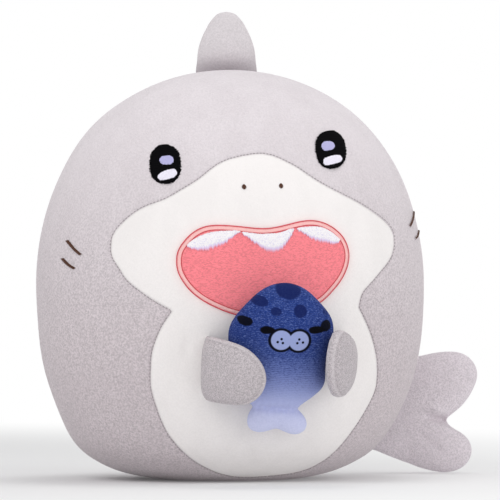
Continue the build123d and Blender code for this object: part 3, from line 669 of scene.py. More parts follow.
# ======================================================== thread geometry
def strands(name, centre, normal, width, height, mat, along=None, sections=5):
    """Threads as half tubes. centre and normal are (threads, points, 3)."""
    c, n = np.asarray(centre), np.asarray(normal)
    s, k = c.shape[:2]
    t = unit(np.gradient(c, axis=1))
    side = unit(np.cross(t, n))
    a = np.linspace(0, math.pi, sections)
    taper = np.ones(k)
    taper[0] = taper[-1] = 0.45
    taper[1] = taper[-2] = 0.85 if k > 4 else taper[1]
    w = (np.asarray(width) * 0.5)
    w = (w[:, None] if np.ndim(w) else w) * taper[None, :]
    h = height * taper[None, :]
    v = (c[:, :, None, :]
         + side[:, :, None, :] * (w[:, :, None] * np.cos(a))[..., None]
         + n[:, :, None, :] * (np.broadcast_to(h, (s, k))[:, :, None] * np.sin(a))[..., None])
    idx = np.arange(s * k * sections).reshape(s, k, sections)
    f = np.stack([idx[:, :-1, :-1], idx[:, 1:, :-1], idx[:, 1:, 1:], idx[:, :-1, 1:]], -1).reshape(-1, 4)
    attrs = {"along": np.broadcast_to(np.linspace(0, 1, k)[None, :, None], (s, k, sections)).ravel()}
    return mesh_piece(name, v.reshape(-1, 3), f, mat, attrs=attrs)


def satin_fill(name, outline, angle, pitch, mat, lift, crown=0.5, jitter=0.25, pts=9, rag=None, wide=1.9):
    """Satin stitching that fills an outline, threads laid at an angle."""
    o = closed(outline, 240)
    ca, sa = math.cos(angle), math.sin(angle)
    uv = np.stack([o[:, 0] * ca + o[:, 1] * sa, -o[:, 0] * sa + o[:, 1] * ca], 1)
    rows = np.arange(uv[:, 1].min() + pitch * 0.4, uv[:, 1].max() - pitch * 0.2, pitch)
    cs, ns = [], []
    for v in rows:
        a, b = uv, np.roll(uv, -1, 0)
        cross = (a[:, 1] > v) != (b[:, 1] > v)
        xs = np.sort(a[cross, 0] + (v - a[cross, 1]) / (b[cross, 1] - a[cross, 1]) * (b[cross, 0] - a[cross, 0]))
        for x0, x1 in zip(xs[0::2], xs[1::2]):
            j0, j1 = rng.uniform(-jitter, jitter, 2)
            if rag is not None:
                j1 += rng.uniform(-rag, rag)
            x0, x1 = x0 - 0.15 + j0, x1 + 0.15 + j1
            if x1 - x0 < 0.8:
                continue
            u = np.linspace(x0, x1, pts)
            vv = v + rng.uniform(-0.05, 0.05) + 0.06 * np.sin(np.linspace(0, 3, pts) + rng.uniform(0, 6))
            x, z = u * ca - vv * sa, u * sa + vv * ca
            t = np.linspace(0, 1, pts)
            up = lift + crown * np.sin(math.pi * t) ** 0.55 + rng.uniform(0, 0.07)
            p, n = at_front(x, z, up)
            cs.append(p)
            ns.append(n)
    ob = strands(name, np.array(cs), np.array(ns), pitch * wide, 0.3, mat)
    return ob


def satin_line(path, width, pitch, lift, crown=0.35, slant=0.35, pts=7, loop=True, jitter=0.08):
    """Threads laid across a line on the front of the body."""
    s = np.linalg.norm(np.diff(np.vstack([path, path[:1]]) if loop else path, axis=0), axis=1).sum()
    q = even(np.vstack([path, path[:1]]) if loop else path, max(4, int(s / pitch)), loop)
    if loop:
        t = unit(np.roll(q, -1, 0) - np.roll(q, 1, 0))
    else:
        t = unit(np.gradient(q, axis=0))
    nn = np.stack([-t[:, 1], t[:, 0]], 1)
    d = unit(nn + t * slant)
    k = np.linspace(-0.5, 0.5, pts)
    w = width * (1 + rng.uniform(-jitter, jitter, len(q)))
    xy = q[:, None, :] + d[:, None, :] * (k[None, :, None] * w[:, None, None])
    up = lift + crown * np.cos(k * math.pi) ** 0.6
    return at_front(xy[..., 0], xy[..., 1], np.broadcast_to(up, xy.shape[:2]))


def inset(poly, amount):
    t = unit(np.roll(poly, -1, 0) - np.roll(poly, 1, 0))
    n = np.stack([-t[:, 1], t[:, 0]], 1)
    area = 0.5 * np.sum(poly[:, 0] * np.roll(poly[:, 1], -1) - np.roll(poly[:, 0], -1) * poly[:, 1])
    return poly + n * amount * (1 if area > 0 else -1)


# ============================================================= mouth and face
def radial(outline, centre, rings):
    k = np.arange(1, rings + 1) / rings
    rho = np.sin(k * math.pi / 2)
    n = len(outline)
    c = np.array(centre)
    pts = c + rho[:, None, None] * (outline[None] - c)
    pts = np.vstack([c[None], pts.reshape(-1, 2)])
    rr = np.concatenate([[0.0], np.repeat(rho, n)])
    faces = [(0, 1 + i, 1 + (i + 1) % n) for i in range(n)]
    for j in range(rings - 1):
        a = 1 + j * n
        i = np.arange(n)
        q = np.stack([a + i, a + n + i, a + n + (i + 1) % n, a + (i + 1) % n], 1)
        faces.extend(q.tolist())
    return pts, rr, faces


mo = closed(MOUTH, 320)
pts, rr, faces = radial(mo, (0.0, 132.0), 40)
dist = np.maximum(mouth_field(pts[:, 0], pts[:, 1]), 0)
lift = 0.25 + 0.65 * (1 - np.exp(-dist / 1.0)) + 0.25 * lumps(np.c_[pts[:, 0], pts[:, 1], pts[:, 1] * 0] , 3.0) * np.clip(dist / 6, 0, 1)
lift -= 0.35 * np.exp(-((dist - 0.7) / 0.9) ** 2) + 0.35 * np.exp(-((dist - 3.3) / 0.9) ** 2)
fp, fn = at_front(pts[:, 0], pts[:, 1], lift)
rim = 0.85 * np.clip(1 - (np.abs(dist - 2.0) / 1.7) ** 4, 0, 1)
mouth = mesh_piece("mouth_patch_cloth", fp, faces, m_coral, attrs={"rim": rim})
recalc(mouth)
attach(mouth, "body")
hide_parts("mouth_patch")

for nm, amount in (("mouth_stitch_outer", 0.5), ("mouth_stitch_inner", 3.3)):
    c, n = satin_line(inset(mouth_outline, amount), 0.62, 0.42, 0.6, 0.22)
    ob = strands(nm + "_thread", c, n, 0.5, 0.22, m_tcoral)
    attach(ob, "body")
    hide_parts(nm)

for nm, outline in TEETH.items():
    ob = satin_fill(nm + "_thread", outline, -math.pi / 2 + 0.06, 0.5, m_tooth, 0.75, 0.75, 0.15, 13, 0.7)
    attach(ob, "body")
    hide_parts(nm)

for nm, outline in EYES.items():
    ob = satin_fill(nm + "_thread", outline, 0.1, 0.42, m_black, 0.15, 0.85, 0.4, 13, None, 2.4)
    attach(ob, "body")
    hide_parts(nm)
for nm, outline in GLINTS.items():
    up = "upper" in nm
    ob = satin_fill(nm + "_thread", outline, math.pi / 2 - 0.2, 0.42, m_lav if up else m_white_t, 0.95, 0.4, 0.15, 9)
    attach(ob, "body")
    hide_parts(nm)

cs, ns = [], []
for nx, nz in NOSTRILS:
    for v in np.arange(-1.35, 1.36, 0.45):
        h = math.sqrt(max(1.5 ** 2 - v * v, 0.2))
        x = nx + np.linspace(-h, h, 7)
        p, n = at_front(x, np.full(7, nz + v), 0.1 + 0.45 * np.sin(np.linspace(0, math.pi, 7)) ** 0.6)
        cs.append(p)
        ns.append(n)
ob = strands("nostril_threads", np.array(cs), np.array(ns), 0.52, 0.25, m_brown)
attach(ob, "body")
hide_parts("nostrils")

for nm, pairs in GILLS.items():
    cs, ns = [], []
    for (x0, z0), (x1, z1) in pairs:
        mid = ((x0 + x1) / 2, (z0 + z1) / 2 - 0.8)
        path = cubic([(x0, z0), mid, (x1, z1)], 60)
        c, n = satin_line(path, 1.7, 0.42, 0.15, 0.7, 0.3, 7, False)
        cs.append(c)
        ns.append(n)
    ob = strands(nm + "_thread", np.concatenate(cs), np.concatenate(ns), 0.55, 0.25, m_brown)
    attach(ob, "body")
    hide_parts(nm)

# short running stitches in the panel's seam
po = even(np.vstack([panel_outline, panel_outline[:1]]), 300, True)
tt = unit(np.roll(po, -1, 0) - np.roll(po, 1, 0))
k = np.linspace(-0.7, 0.7, 5)
xy = po[:, None, :] + tt[:, None, :] * k[None, :, None]
p, n = at_front(xy[..., 0], xy[..., 1], np.broadcast_to(-0.45 + 0.2 * np.cos(k * 2), xy.shape[:2]))
p = settle(p.reshape(-1, 3)).reshape(p.shape)
ob = strands("panel_seam_stitches", p, n, 0.42, 0.26, m_stitch)
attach(ob, "body")


# ============================================================ soft limbs
def halves(name, pts2, rr, faces, top, bottom, mat, body, nodes, attrs=None):
    made = []
    for part, v, flip in (("front", top, False), ("back", bottom, True)):
        f = [tuple(reversed(q)) for q in faces] if flip else faces
        ob = mesh_piece(f"{name}_{part}", v, f, mat, attrs=attrs)
        made.append(ob)
    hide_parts(*nodes[0])
    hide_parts(*nodes[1])
    return made


def pillow(outline, centre, thick, rings=30, n=260, power=2.5):
    o = closed(outline, n)
    pts, rr, faces = radial(o, centre, rings)
    t = 0.5 * thick * np.sqrt(np.clip(1 - rr ** power, 0, 1))
    ang = np.arctan2(pts[:, 1] - centre[1], pts[:, 0] - centre[0])
    rimward = np.exp(-(1 - rr) / 0.09)
    t = t + 0.35 * rimward * np.sin(ang * 41 + 3 * np.sin(ang * 5)) * np.clip((1 - rr) * 30, 0, 1)
    return pts, rr, faces, np.maximum(t, 0.0)


def arc_frame(arc):
    (x0, y0), (x1, y1), (x2, y2) = arc
    a = np.array([[x1 - x0, y1 - y0], [x2 - x0, y2 - y0]]) * 2
    b = np.array([x1 ** 2 - x0 ** 2 + y1 ** 2 - y0 ** 2, x2 ** 2 - x0 ** 2 + y2 ** 2 - y0 ** 2])
    c = np.linalg.solve(a, b)
    rad = math.hypot(x0 - c[0], y0 - c[1])
    t0 = math.atan2(y0 - c[1], x0 - c[0])
    t2 = math.atan2(y2 - c[1], x2 - c[0])
    sweep = (t2 - t0 + math.pi) % (2 * math.pi) - math.pi
    return c, rad, t0, sweep


def flipper(name, arc, outline, centre, outward, body, nodes, shift=(0.0, 0.0, 0.0)):
    c, rad, t0, sweep = arc_frame(arc)
    chord = math.hypot(arc[2][0] - arc[0][0], arc[2][1] - arc[0][1])
    pts, rr, faces, t = pillow(outline, centre, 15.0, 34, 280, 2.6)
    near = np.clip((pts[:, 0] + 8.0) / 26.0, 0, 1)
    t = t * (0.30 + 0.70 * near * near * (3 - 2 * near))
    c = c + np.array(shift[:2])
    lipped = 0.40 * np.exp(-((rr - 0.965) / 0.018) ** 2) - 0.42 * np.exp(-((rr - 0.915) / 0.022) ** 2)
    t = np.maximum(t + lipped * near, 0)
    s = pts[:, 0] / chord
    a = t0 + sweep * s
    out = []
    for sign in (1, -1):
        tt = t * sign + 0.3 * lumps(np.c_[pts, pts[:, :1] * 0], 4.0) * (1 - rr)
        radial_dir = np.stack([np.cos(a), np.sin(a)], 1)
        side = 1.0 if (radial_dir.mean(0) @ np.array(outward)) > 0 else -1.0
        xy = c + radial_dir * (rad + side * tt)[:, None]
        # a tuck where the flipper is sewn on
        out.append(HUG_O + xy[:, :1] * HUG_X + xy[:, 1:2] * HUG_Y + (pts[:, 1:2] + shift[2]) * HUG_Z)
    # masks for the painted shade in the rim groove and the painted highlight on the lip
    attrs = {"lip": 0.40 * np.exp(-((rr - 0.968) / 0.02) ** 2) * near,
             "groove_shade": 0.24 * np.exp(-((rr - 0.912) / 0.014) ** 2) * near}
    obs = halves(name, pts, rr, faces, out[0], out[1], m_limb, body, nodes, attrs)
    for o in obs:
        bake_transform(o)
    for o in obs:
        recalc(o)
    return obs


flipper("right_flipper", R_ARC, R_OUTLINE, (22.0, 0.5), (-1, -1), "right_flipper",
        (["right_flipper_outer", "right_flipper_stuffing"], ["right_flipper_inner"]), (2.2, 0.8, 0.0))
flipper("left_flipper", L_ARC, L_OUTLINE, (24.0, 5.0), (1, -1), "left_flipper",
        (["left_flipper_outer", "left_flipper_stuffing"], ["left_flipper_inner"]), (-3.0, 0.0, 2.0))

# tail
tdir = np.array((math.cos(TAIL_ANGLE), math.sin(TAIL_ANGLE), 0.0))
tface = np.array((math.sin(TAIL_ANGLE), -math.cos(TAIL_ANGLE), 0.0))
pts, rr, faces, t = pillow(TAIL_OUTLINE, (40.0, 40.0), 27.0, 34, 320, 2.3)
root = np.clip((pts[:, 0] + 8) / 26.0, 0, 1)
t *= 0.62 + 0.38 * root
line = np.clip((62.2 - pts[:, 0]) / 22.0, 0, 1)
crease = 5.2 * np.exp(-((pts[:, 1] - 34.6 - (62.2 - pts[:, 0]) * 0.14) / 2.0) ** 2) * np.exp(-((pts[:, 0] - 60.0) / 9.0) ** 2)
crease -= 2.4 * np.exp(-((pts[:, 1] - 39.6 - (62.2 - pts[:, 0]) * 0.25) / 2.8) ** 2) * np.exp(-((pts[:, 0] - 55.5) / 6.0) ** 2)
crease += 0.9 * np.exp(-((pts[:, 1] - 21.0 + (pts[:, 0] - 50.0) * 0.8) / 3.4) ** 2) * np.exp(-((pts[:, 0] - 52.0) / 9.0) ** 2)
t = np.maximum(t - crease * np.clip((1 - rr) * 12, 0, 1), 0)
lump = 0.5 * lumps(np.c_[pts, pts[:, :1] * 0], 3.0) * (1 - rr)
middle = (np.array((TAIL_ROOT[0], TAIL_ROOT[1], 0.0)) + pts[:, :1] * tdir
          + (pts[:, 1:2] - 0.5 * np.clip((34.0 - pts[:, 1:2]) / 30.0, 0, 1)) * np.array((0, 0, 1.0)))
draw = np.clip((24.0 - pts[:, 0]) / 32.0, 0, 1)
draw = draw * draw * (3 - 2 * draw)
follow = np.clip((40.0 - pts[:, 0]) / 34.0, 0, 1)
follow = follow * follow * (3 - 2 * follow)
away = unit(np.stack([middle[:, 0], middle[:, 1] / DEPTH ** 2, np.zeros(len(middle))], 1))
tuck = np.clip(width_at(np.full(len(middle), 55.0)) - width_at(middle[:, 2]), 0, 40)
middle = middle - away * (tuck * follow)[:, None]
for _ in range(6):
    r_at = width_at(middle[:, 2])
    level = np.sqrt((middle[:, 0] / r_at) ** 2 + (middle[:, 1] / (DEPTH * r_at)) ** 2)
    away = unit(np.stack([middle[:, 0], middle[:, 1] / DEPTH ** 2, np.zeros(len(middle))], 1))
    gap = (level - 1.0) * np.hypot(middle[:, 0], middle[:, 1]) * 0.97 + 2.5
    step = np.clip(gap, 0, 40) * draw
    middle = middle - away * step[:, None] * 0.6
tails = [middle + (sign * t + lump)[:, None] * tface for sign in (1, -1)]
off = middle[:, 0] - width_at(middle[:, 2])
# painted shade on the tail, strongest next to the body's side and fading upwards
tail_root_shade = 0.62 * np.exp(-np.clip(off - 6.0, 0, None) / 8.0) * np.clip((84.0 - middle[:, 2]) / 34.0, 0, 1)
for o in halves("tail", pts, rr, faces, tails[0], tails[1], m_tail, "tail",
                (["tail_front_panel", "tail_stuffing"], ["tail_back_panel"]),
                {"tail_root_shade": tail_root_shade}):
    recalc(o)
    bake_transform(o)


def tube(zs, left, right, half_t, sharp=1.12, segs=48, bottom=None):
    """Rings that are lens-shaped, for a form with a seam down both sides."""
    g = np.linspace(0, math.pi, segs + 1)
    top, bot = [], []
    for z, l, rt, b in zip(zs, left, right, half_t):
        x = np.where(np.cos(g) > 0, rt, l) * np.cos(g)
        y = b * np.sin(g) ** sharp
        top.append(np.stack([x, -y, np.full(segs + 1, z)], 1))
        bot.append(np.stack([x, y, np.full(segs + 1, z)], 1))
    n = len(zs)
    idx = np.arange(n * (segs + 1)).reshape(n, segs + 1)
    f = np.stack([idx[:-1, :-1], idx[1:, :-1], idx[1:, 1:], idx[:-1, 1:]], -1).reshape(-1, 4)
    return np.array(top).reshape(-1, 3), np.array(bot).reshape(-1, 3), f.tolist()


def weld(ob):
    import bmesh
    bm = bmesh.new()
    bm.from_mesh(ob.data)
    bmesh.ops.remove_doubles(bm, verts=bm.verts, dist=1e-6)
    bmesh.ops.recalc_face_normals(bm, faces=bm.faces)
    bm.to_mesh(ob.data)
    bm.free()


# dorsal fin
fz = 299.4 - 46.0 * (1 - np.sin(np.linspace(math.pi / 2, 0, 60)))
fz = 299.4 - (299.4 - 255.0) * (1 - np.cos(np.linspace(0, math.pi / 2, 70)))
fw = np.interp(fz, [250.0, 261.0, 264.0, 266.5, 269.0, 271.6, 274.2, 276.8, 279.3, 281.9, 284.5, 287.1, 289.6,
                    292.2, 294.8, 297.4, 298.7, 299.4],
               [20.2, 20.1, 19.8, 19.4, 19.1, 19.0, 18.6, 18.1, 17.3, 16.4, 15.3, 14.0, 12.7,
                11.2, 9.2, 6.7, 4.4, 0.0])
ft = np.interp(fz, [250.0, 258.0, 261.0, 263.0, 266.0, 269.5, 273.5, 279.0, 288.0, 294.0, 297.5, 299.0, 299.4],
               [1.5, 1.8, 2.6, 3.8, 6.0, 8.0, 9.1, 9.0, 7.0, 5.0, 2.9, 1.3, 0.0])
kern = np.array([1, 2, 3, 2, 1.0]); kern /= kern.sum()
fwp = np.convolve(np.pad(fw, 2, mode="edge"), kern, "valid"); fwp[0] = 0
ftp = np.convolve(np.pad(ft, 2, mode="edge"), kern, "valid"); ftp[0] = 0
top, bot, f = tube(fz, fwp, fwp, ftp)
for arr, s in ((top, -1), (bot, 1)):
    low = np.clip((276.0 - arr[:, 2]) / 18.0, 0, 1)
    folds = 0.5 * low * np.sin(arr[:, 2] * 0.9 + 1.5 * np.sin(arr[:, 0] * 0.16)) * np.exp(-((arr[:, 0] - 5) / 12.0) ** 2)
    folds = folds + 0.22 * np.sin(arr[:, 2] * 1.5 + 1.2 * np.sin(arr[:, 0] * 0.2 + 1.0)) * np.clip((296.0 - arr[:, 2]) / 12.0, 0, 1)
    side_in = np.clip(np.abs(arr[:, 1]) / 4.0, 0, 1)
    folds = folds * side_in
    arr[:, 1] += SEAM_Y
    arr[:, 0] += 0.3
for o in halves("dorsal_fin", None, None, f, top, bot, m_fin, "dorsal_fin",
                (["fin_front_panel", "fin_stuffing"], ["fin_back_panel"])):
    weld(o)
    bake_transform(o)

# ================================================================== the seal
seal_z = HUG_Z * math.cos(SEAL_LEAN) + HUG_X * math.sin(SEAL_LEAN)
seal_x = HUG_X * math.cos(SEAL_LEAN) - HUG_Z * math.sin(SEAL_LEAN)
seal_o = HUG_O + SEAL_HEAD[0] * HUG_X + SEAL_HEAD[1] * HUG_Y + SEAL_HEAD[2] * HUG_Z
sp = np.array([
    (0.0, 31.0), (5.5, 30.3), (10.1, 28.7), (14.4, 26.2), (21.1, 20.0),
    (26.3, 13.7), (29.9, 7.5), (31.6, 0.0), (31.0, -7.0), (29.6, -14.4),
    (28.6, -22.5), (27.2, -30.0), (24.6, -35.4), (21.0, -39.9), (17.1, -43.7),
    (13.0, -47.2), (11.6, -50.0)])
sc = cubic([tuple((-x, z)) for x, z in sp[3:0:-1]] + [tuple(q) for q in sp], 3000)
sc = sc[np.argmin(np.abs(sc[:, 0]) + (sc[:, 1] < 25) * 99):]
ca = np.linspace(0, 1, 110)
zs = 31.0 - 76.6 * (1 - np.cos(ca * math.pi / 2))
w = np.interp(-zs, -sc[:, 1], sc[:, 0])
w[0] = 0
w = np.maximum(w, np.where(zs < -35, 13.0, 0))
full = 3.2 * np.exp(-((zs + 31.0) / 8.5) ** 2)
bt = w * 0.52
bt = np.where(zs < -30, np.maximum(bt, 5.2), bt)
zf = -46.0 - 15.2 * np.sin(np.linspace(0, math.pi / 2, 40))
wl = np.interp(-zf, [46.0, 48.5, 52.0, 55.5, 58.0, 60.0, 61.2], [12.4, 13.4, 15.2, 15.6, 15.2, 14.2, 12.0])
wr = np.interp(-zf, [46.0, 48.5, 52.0, 55.5, 58.0, 60.0, 61.2], [14.0, 17.2, 20.8, 22.2, 22.0, 21.0, 18.4])
tf = 5.2 * np.sqrt(np.clip(1 - ((-46.0 - zf) / 15.2) ** 4.0, 0.0, 1))
tf[-1] = 0.0
wide = np.exp(-((zs + 6.0) / 15.0) ** 2)
brow = np.exp(-((zs - 13.0) / 9.0) ** 2)
left = np.concatenate([w + 1.8 * wide - 0.7 * brow, wl])
right = np.concatenate([w + full + 0.7 * wide + 2.0 * brow, wr])
th = np.concatenate([bt, tf])
z_all = np.concatenate([zs, zf])
kern = np.ones(7) / 7
sm = lambda a: np.concatenate([a[:6], np.convolve(a, kern, "valid")[3:-3], a[-6:]]) if len(a) > 20 else a
left, right = sm(left), sm(right)
th = np.concatenate([th[:12], sm(th)[12:]])
m = min(len(left), len(z_all))
top, bot, f = tube(z_all[:m], left[:m], right[:m], th[:m], 1.06, 60)


def seal_shape(v, side):
    q = v.copy()
    low = np.clip((-50.0 - q[:, 2]) / 11.0, 0, 1)
    x = q[:, 0]
    drop = 1.8 * np.exp(-((np.abs(x - 3.4) - 11.0) / 5.5) ** 2) - 1.1 * np.exp(-((x - 3.4) / 3.5) ** 2)
    q[:, 2] -= drop * low
    q[:, 1] += 0.25 * lumps(q, 3.5)
    q[:, 1] *= 1 - 0.45 * np.exp(-((x - 3.4) / 3.0) ** 2) * low
    ring = np.exp(-((q[:, 2] + 46.6) / 2.0) ** 2)
    q[:, 1] *= 1 - 0.34 * ring
    gather = np.exp(-((q[:, 2] + 46.0) / 5.0) ** 2)
    q[:, 1] += side * 0.35 * gather * np.sin(x * 1.5 + 0.6) * np.clip(np.abs(q[:, 1]) / 3.0, 0, 1)
    return q


top, bot = seal_shape(top, -1), seal_shape(bot, 1)


def seal_world(v):
    return seal_o + v[:, :1] * seal_x + v[:, 1:2] * HUG_Y + v[:, 2:3] * seal_z


def in_seal(x_px, y_px):
    """A place on the front of the seal, in its own frame."""
    z = (332.0 - y_px) * 0.624
    xm = (x_px - (281.0 + (332.0 - y_px) * 0.07)) * 0.6125
    rz = float(np.interp(-z, -sc[:, 1], sc[:, 0])) if z > -50 else 12.0
    x = xm / 0.977
    z0 = z
    for _ in range(10):
        rz = float(np.interp(-z, -sc[:, 1], sc[:, 0])) if z > -50 else 12.0
        yf = -0.52 * math.sqrt(max(rz * rz - x * x, 0.0))
        x = (xm + 0.213 * yf) / 0.977
        z = z0 - 0.194 * yf
    return x - 1.0, z


def ellipse(nt, sx, sz, cx, cz, rx, rz, soft=0.12, wob=None):
    dx = math_node(nt, "DIVIDE", math_node(nt, "SUBTRACT", sx, cx), rx)
    dz = math_node(nt, "DIVIDE", math_node(nt, "SUBTRACT", sz, cz), rz)
    d = math_node(nt, "SQRT", math_node(nt, "ADD", math_node(nt, "MULTIPLY", dx, dx),
                                        math_node(nt, "MULTIPLY", dz, dz)))
    if wob is not None:
        d = math_node(nt, "ADD", d, wob)
    return ramp(nt, d, 1 - soft, 1 + soft, 1.0, 0.0)


def seal_material(name, face):
    m, nt, b = new_mat(name)
    tc = nt.nodes.new("ShaderNodeTexCoord")
    coord = tc.outputs["Object"]
    fine, mid, brushed = plush_finish(nt, b, coord, 0.5, sheen=0.06, tint=(0.8, 0.85, 1, 1), spec=0.08)
    pos = attribute(nt, "seal_mm", True)
    sep = nt.nodes.new("ShaderNodeSeparateXYZ")
    nt.links.new(pos, sep.inputs[0])
    sx, sz = sep.outputs[0], sep.outputs[2]
    wob = math_node(nt, "MULTIPLY", math_node(nt, "SUBTRACT", noise(nt, coord, 300.0, 2.0), 0.5), 0.3)
    cr = nt.nodes.new("ShaderNodeValToRGB")
    fac = ramp(nt, sz, -64.0, 32.0)
    lin = nt.nodes.new("ShaderNodeMapRange")
    lin.inputs["From Min"].default_value = -64.0
    lin.inputs["From Max"].default_value = 32.0
    nt.links.new(sz, lin.inputs["Value"])
    nt.links.new(lin.outputs[0], cr.inputs[0])
    el = cr.color_ramp.elements
    el[0].position, el[0].color = 0.0, srgb(212, 215, 243)
    el[1].position, el[1].color = 1.0, srgb(44, 66, 133)
    for at, col in ((0.12, (203, 207, 239)), (0.22, (180, 187, 229)), (0.33, (142, 153, 203)),
                    (0.44, (104, 119, 178)), (0.55, (62, 82, 148)), (0.66, (38, 60, 128)), (0.82, (36, 61, 133))):
        e = el.new(at)
        e.color = srgb(*col)
    c = cr.outputs[0]
    # darker towards the sides
    sidef = ramp(nt, math_node(nt, "ABSOLUTE", sx), 14.0, 30.0, 0.0, 0.55)
    sidef = math_node(nt, "MULTIPLY", sidef, ramp(nt, sz, -42.0, -12.0))
    c = mix(nt, sidef, c, srgb(30, 52, 118))
    ribs = math_node(nt, "SINE", math_node(nt, "MULTIPLY", sz, 2 * math.pi / 1.15))
    upper = ramp(nt, sz, -44.0, -14.0)
    stripe = noise(nt, coord, 1350.0, 2.0, 0.6, (0.55, 0.55, 1.4))
    c = mix(nt, math_node(nt, "MULTIPLY", ramp(nt, ribs, -0.6, 0.9, 0.0, 0.34), upper), c, srgb(14, 26, 80))
    c = mix(nt, math_node(nt, "MULTIPLY", ramp(nt, stripe, 0.48, 0.36, 0.0, 0.60), upper), c, srgb(20, 34, 92))
    c = mix(nt, math_node(nt, "MULTIPLY", ramp(nt, stripe, 0.53, 0.66, 0.0, 0.38), upper), c, srgb(122, 142, 204))
    c = mix(nt, ramp(nt, fine, 0.40, 0.62, 0.0, 0.10), c, srgb(112, 126, 184))
    spots = [(287.2, 289.8, 13.3, 7.9, 0.9), (259.6, 302.6, 7.9, 4.8, 0.9), (275.6, 311.9, 5.5, 3.9, 0.85),
             (299.8, 309.8, 7, 6.3, 0.9), (245.6, 323.2, 7, 4.6, 1.0), (325.6, 322.0, 6.4, 5.6, 1.0),
             (324, 306.5, 3.6, 3.2, 0.6)]
    for x, y, rx, ry, deep in spots:
        cx, cz = in_seal(x, y)
        dark = srgb(8, 10, 26) if deep == 1.0 else srgb(20, 32, 86)
        c = mix(nt, math_node(nt, "MULTIPLY", ellipse(nt, sx, sz, cx, cz, rx * 0.6, ry * 0.62, 0.1, wob), deep),
                c, dark)
    if face:
        for x, y in ((282.0, 340.0), (299.6, 339.5)):
            cx, cz = in_seal(x, y)
            c = mix(nt, ellipse(nt, sx, sz, cx, cz, 8.1, 7.5, 0.05), c, srgb(9, 11, 24))
        for x, y in ((282.0, 340.0), (299.6, 339.5)):
            cx, cz = in_seal(x, y)
            c = mix(nt, ellipse(nt, sx, sz, cx, cz, 6.3, 6.0, 0.06), c, srgb(150, 162, 208))
        for x, y in ((282.2, 338.8), (278.4, 342.0), (283.6, 342.6), (299.8, 337.8), (298.0, 341.7), (303.6, 340.6)):
            cx, cz = in_seal(x, y)
            c = mix(nt, ellipse(nt, sx, sz, cx, cz, 0.8, 0.8, 0.2), c, srgb(9, 11, 24))
        for x0, x1, y in ((260.2, 275.4, 330.2), (308.6, 325.0, 327.4)):
            a0, cz = in_seal(x0, y)
            a1, _ = in_seal(x1, y)
            c = mix(nt, ellipse(nt, sx, sz, (a0 + a1) / 2, cz, abs(a1 - a0) / 2, 2.2, 0.12, wob), c, srgb(7, 7, 14))
            c = mix(nt, ellipse(nt, sx, sz, (a0 + a1) / 2 - 1.2, cz - 0.8, abs(a1 - a0) / 3.0, 1.7, 0.14, wob), c, srgb(7, 7, 14))
    nt.links.new(c, b.inputs["Base Color"])
    return m


ms_front, ms_back = seal_material("seal_print", True), seal_material("seal_print_back", False)
for part, v, mat, nodes in (("front", top, ms_front, ["seal_front_panel", "seal_stuffing"]),
                            ("back", bot, ms_back, ["seal_back_panel"])):
    ob = mesh_piece(f"seal_{part}", seal_world(v), f, mat, attrs={"seal_mm": v})
    weld(ob)
    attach(ob, "seal")
    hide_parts(*nodes)

# ============================================================== care label
m_label, nt, bs = new_mat("label_satin")
tc = nt.nodes.new("ShaderNodeTexCoord")
wv = noise(nt, tc.outputs["Object"], 2200.0, 2.0, 0.5, (1.0, 1.0, 6.0))
nt.links.new(mix(nt, wv, srgb(228, 226, 224), srgb(250, 249, 247)), bs.inputs["Base Color"])
bs.inputs["Roughness"].default_value = 0.4
bs.inputs["Sheen Weight"].default_value = 0.15
lx, lz = 109.0, 52.0
lr = float(width_at(lz))
ly = DEPTH * math.sqrt(lr * lr - lx * lx)
lp = np.array((lx, ly, lz))
sl = float(width_at(lz + 0.5) - width_at(lz - 0.5))
ln = unit(np.array((lx, ly / DEPTH ** 2, -lr * sl)))
lup = unit(np.array((0, 0, 1.0)) - ln * ln[2])
lside = np.cross(lup, ln)
lside = lside if lside[1] > 0 else -lside
nu, nv = 33, 10
rows = []
for i in range(nu):
    s = i / (nu - 1) * 40.0
    back = s > 20
    d = (40 - s) if back else s
    lift = (0.6 if not back else 1.5) + 1.6 * (d / 20) ** 2
    for j in range(nv):
        rows.append(lp + lside * (d - 10.0) + lup * ((j / (nv - 1) - 0.5) * 15.0) + ln * (lift + 1.2))
idx = np.arange(nu * nv).reshape(nu, nv)
lf = np.stack([idx[:-1, :-1], idx[1:, :-1], idx[1:, 1:], idx[:-1, 1:]], -1).reshape(-1, 4)
label = mesh_piece("care_label_ribbon", rows, lf, m_label)
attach(label, "body")
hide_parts("care_label")

# ========================================================= floor and light
fm, nt, bs = new_mat("floor")
out = [n for n in nt.nodes if n.type == "OUTPUT_MATERIAL"][0]
bs.inputs["Base Color"].default_value = (0.84, 0.84, 0.845, 1)
bs.inputs["Roughness"].default_value = 0.9
bs.inputs["Specular IOR Level"].default_value = 0.1
em = nt.nodes.new("ShaderNodeEmission")
em.inputs[0].default_value = (1, 1, 1, 1)
em.inputs[1].default_value = 1.0
tc = nt.nodes.new("ShaderNodeTexCoord")
ln_ = nt.nodes.new("ShaderNodeVectorMath")
ln_.operation = "LENGTH"
mv_ = nt.nodes.new("ShaderNodeVectorMath")
mv_.operation = "ADD"
mv_.inputs[1].default_value = (0.45, -0.30, 0.0)
nt.links.new(tc.outputs["Object"], mv_.inputs[0])
nt.links.new(mv_.outputs[0], ln_.inputs[0])
fac = ramp(nt, ln_.outputs["Value"], 0.42, 1.15)
ms = nt.nodes.new("ShaderNodeMixShader")
nt.links.new(fac, ms.inputs[0])
nt.links.new(bs.outputs[0], ms.inputs[1])
nt.links.new(em.outputs[0], ms.inputs[2])
nt.links.new(ms.outputs[0], out.inputs[0])
fv, ff = [(0, 0, -0.3)], []
for k_, rad in enumerate((300.0, 900.0, 3000.0, 12000.0)):
    for i in range(64):
        a = 2 * math.pi * i / 64
        fv.append((rad * math.cos(a), rad * math.sin(a), -0.3))
for i in range(64):
    ff.append((0, 1 + i, 1 + (i + 1) % 64))
    for k_ in range(3):
        a = 1 + k_ * 64
        ff.append((a + i, a + 64 + i, a + 64 + (i + 1) % 64, a + (i + 1) % 64))
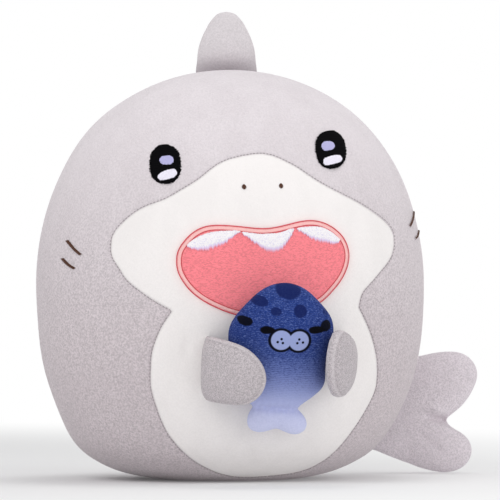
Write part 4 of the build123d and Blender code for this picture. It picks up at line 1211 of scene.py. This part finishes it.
floor = mesh_piece("floor", fv, ff, fm)

world = bpy.data.worlds.new("studio")
bpy.context.scene.world = world
world.use_nodes = True
wt = world.node_tree
wt.nodes.clear()
wo = wt.nodes.new("ShaderNodeOutputWorld")
bg = wt.nodes.new("ShaderNodeBackground")
bg.inputs["Color"].default_value = (1.0, 1.0, 1.0, 1.0)
wt.links.new(bg.outputs[0], wo.inputs[0])
wtc = wt.nodes.new("ShaderNodeTexCoord")
wsep = wt.nodes.new("ShaderNodeSeparateXYZ")
wt.links.new(wtc.outputs["Generated"], wsep.inputs[0])
up_ = wt.nodes.new("ShaderNodeMapRange")
up_.interpolation_type = "SMOOTHSTEP"
up_.inputs["From Min"].default_value = 0.10
up_.inputs["From Max"].default_value = 0.45
up_.inputs["To Min"].default_value = 1.0
up_.inputs["To Max"].default_value = 0.66
wt.links.new(wsep.outputs[2], up_.inputs["Value"])
wt.links.new(up_.outputs[0], bg.inputs["Strength"])


def area(name, loc, target, size, power, colour=(1, 1, 1)):
    l = bpy.data.lights.new(name, "AREA")
    l.shape = "DISK"
    l.size = size
    l.energy = power
    l.color = colour
    o = bpy.data.objects.new(name, l)
    o.location = loc
    o.rotation_mode = "QUATERNION"
    o.rotation_quaternion = (Vector(target) - Vector(loc)).to_track_quat("-Z", "Y")
    bpy.context.scene.collection.objects.link(o)
    return o


area("key", (-0.95, -1.05, 1.15), (0, 0, 0.14), 0.8, 5.0)
area("top", (0.20, 0.15, 1.7), (0, 0, 0.14), 0.7, 4.4)
area("fill", (1.25, -1.0, 0.75), (0.05, 0, 0.10), 0.7, 2.3)
area("low", (0.15, -1.9, 0.42), (0, 0, 0.05), 0.55, 1.6)

cam = bpy.data.cameras.new("camera")
cam.lens = 315.0
cam.sensor_width = 36.0
cam.clip_start, cam.clip_end = 0.1, 60.0
cob = bpy.data.objects.new("camera", cam)
loc = Vector((-0.5843, -2.7383, 0.1167))
cob.location = loc
cob.rotation_mode = "QUATERNION"
cob.rotation_quaternion = (Vector((0.01219, -0.00266, 0.146)) - loc).to_track_quat("-Z", "Y")
bpy.context.scene.collection.objects.link(cob)
bpy.context.scene.camera = cob
bpy.context.scene.view_settings.view_transform = "Standard"
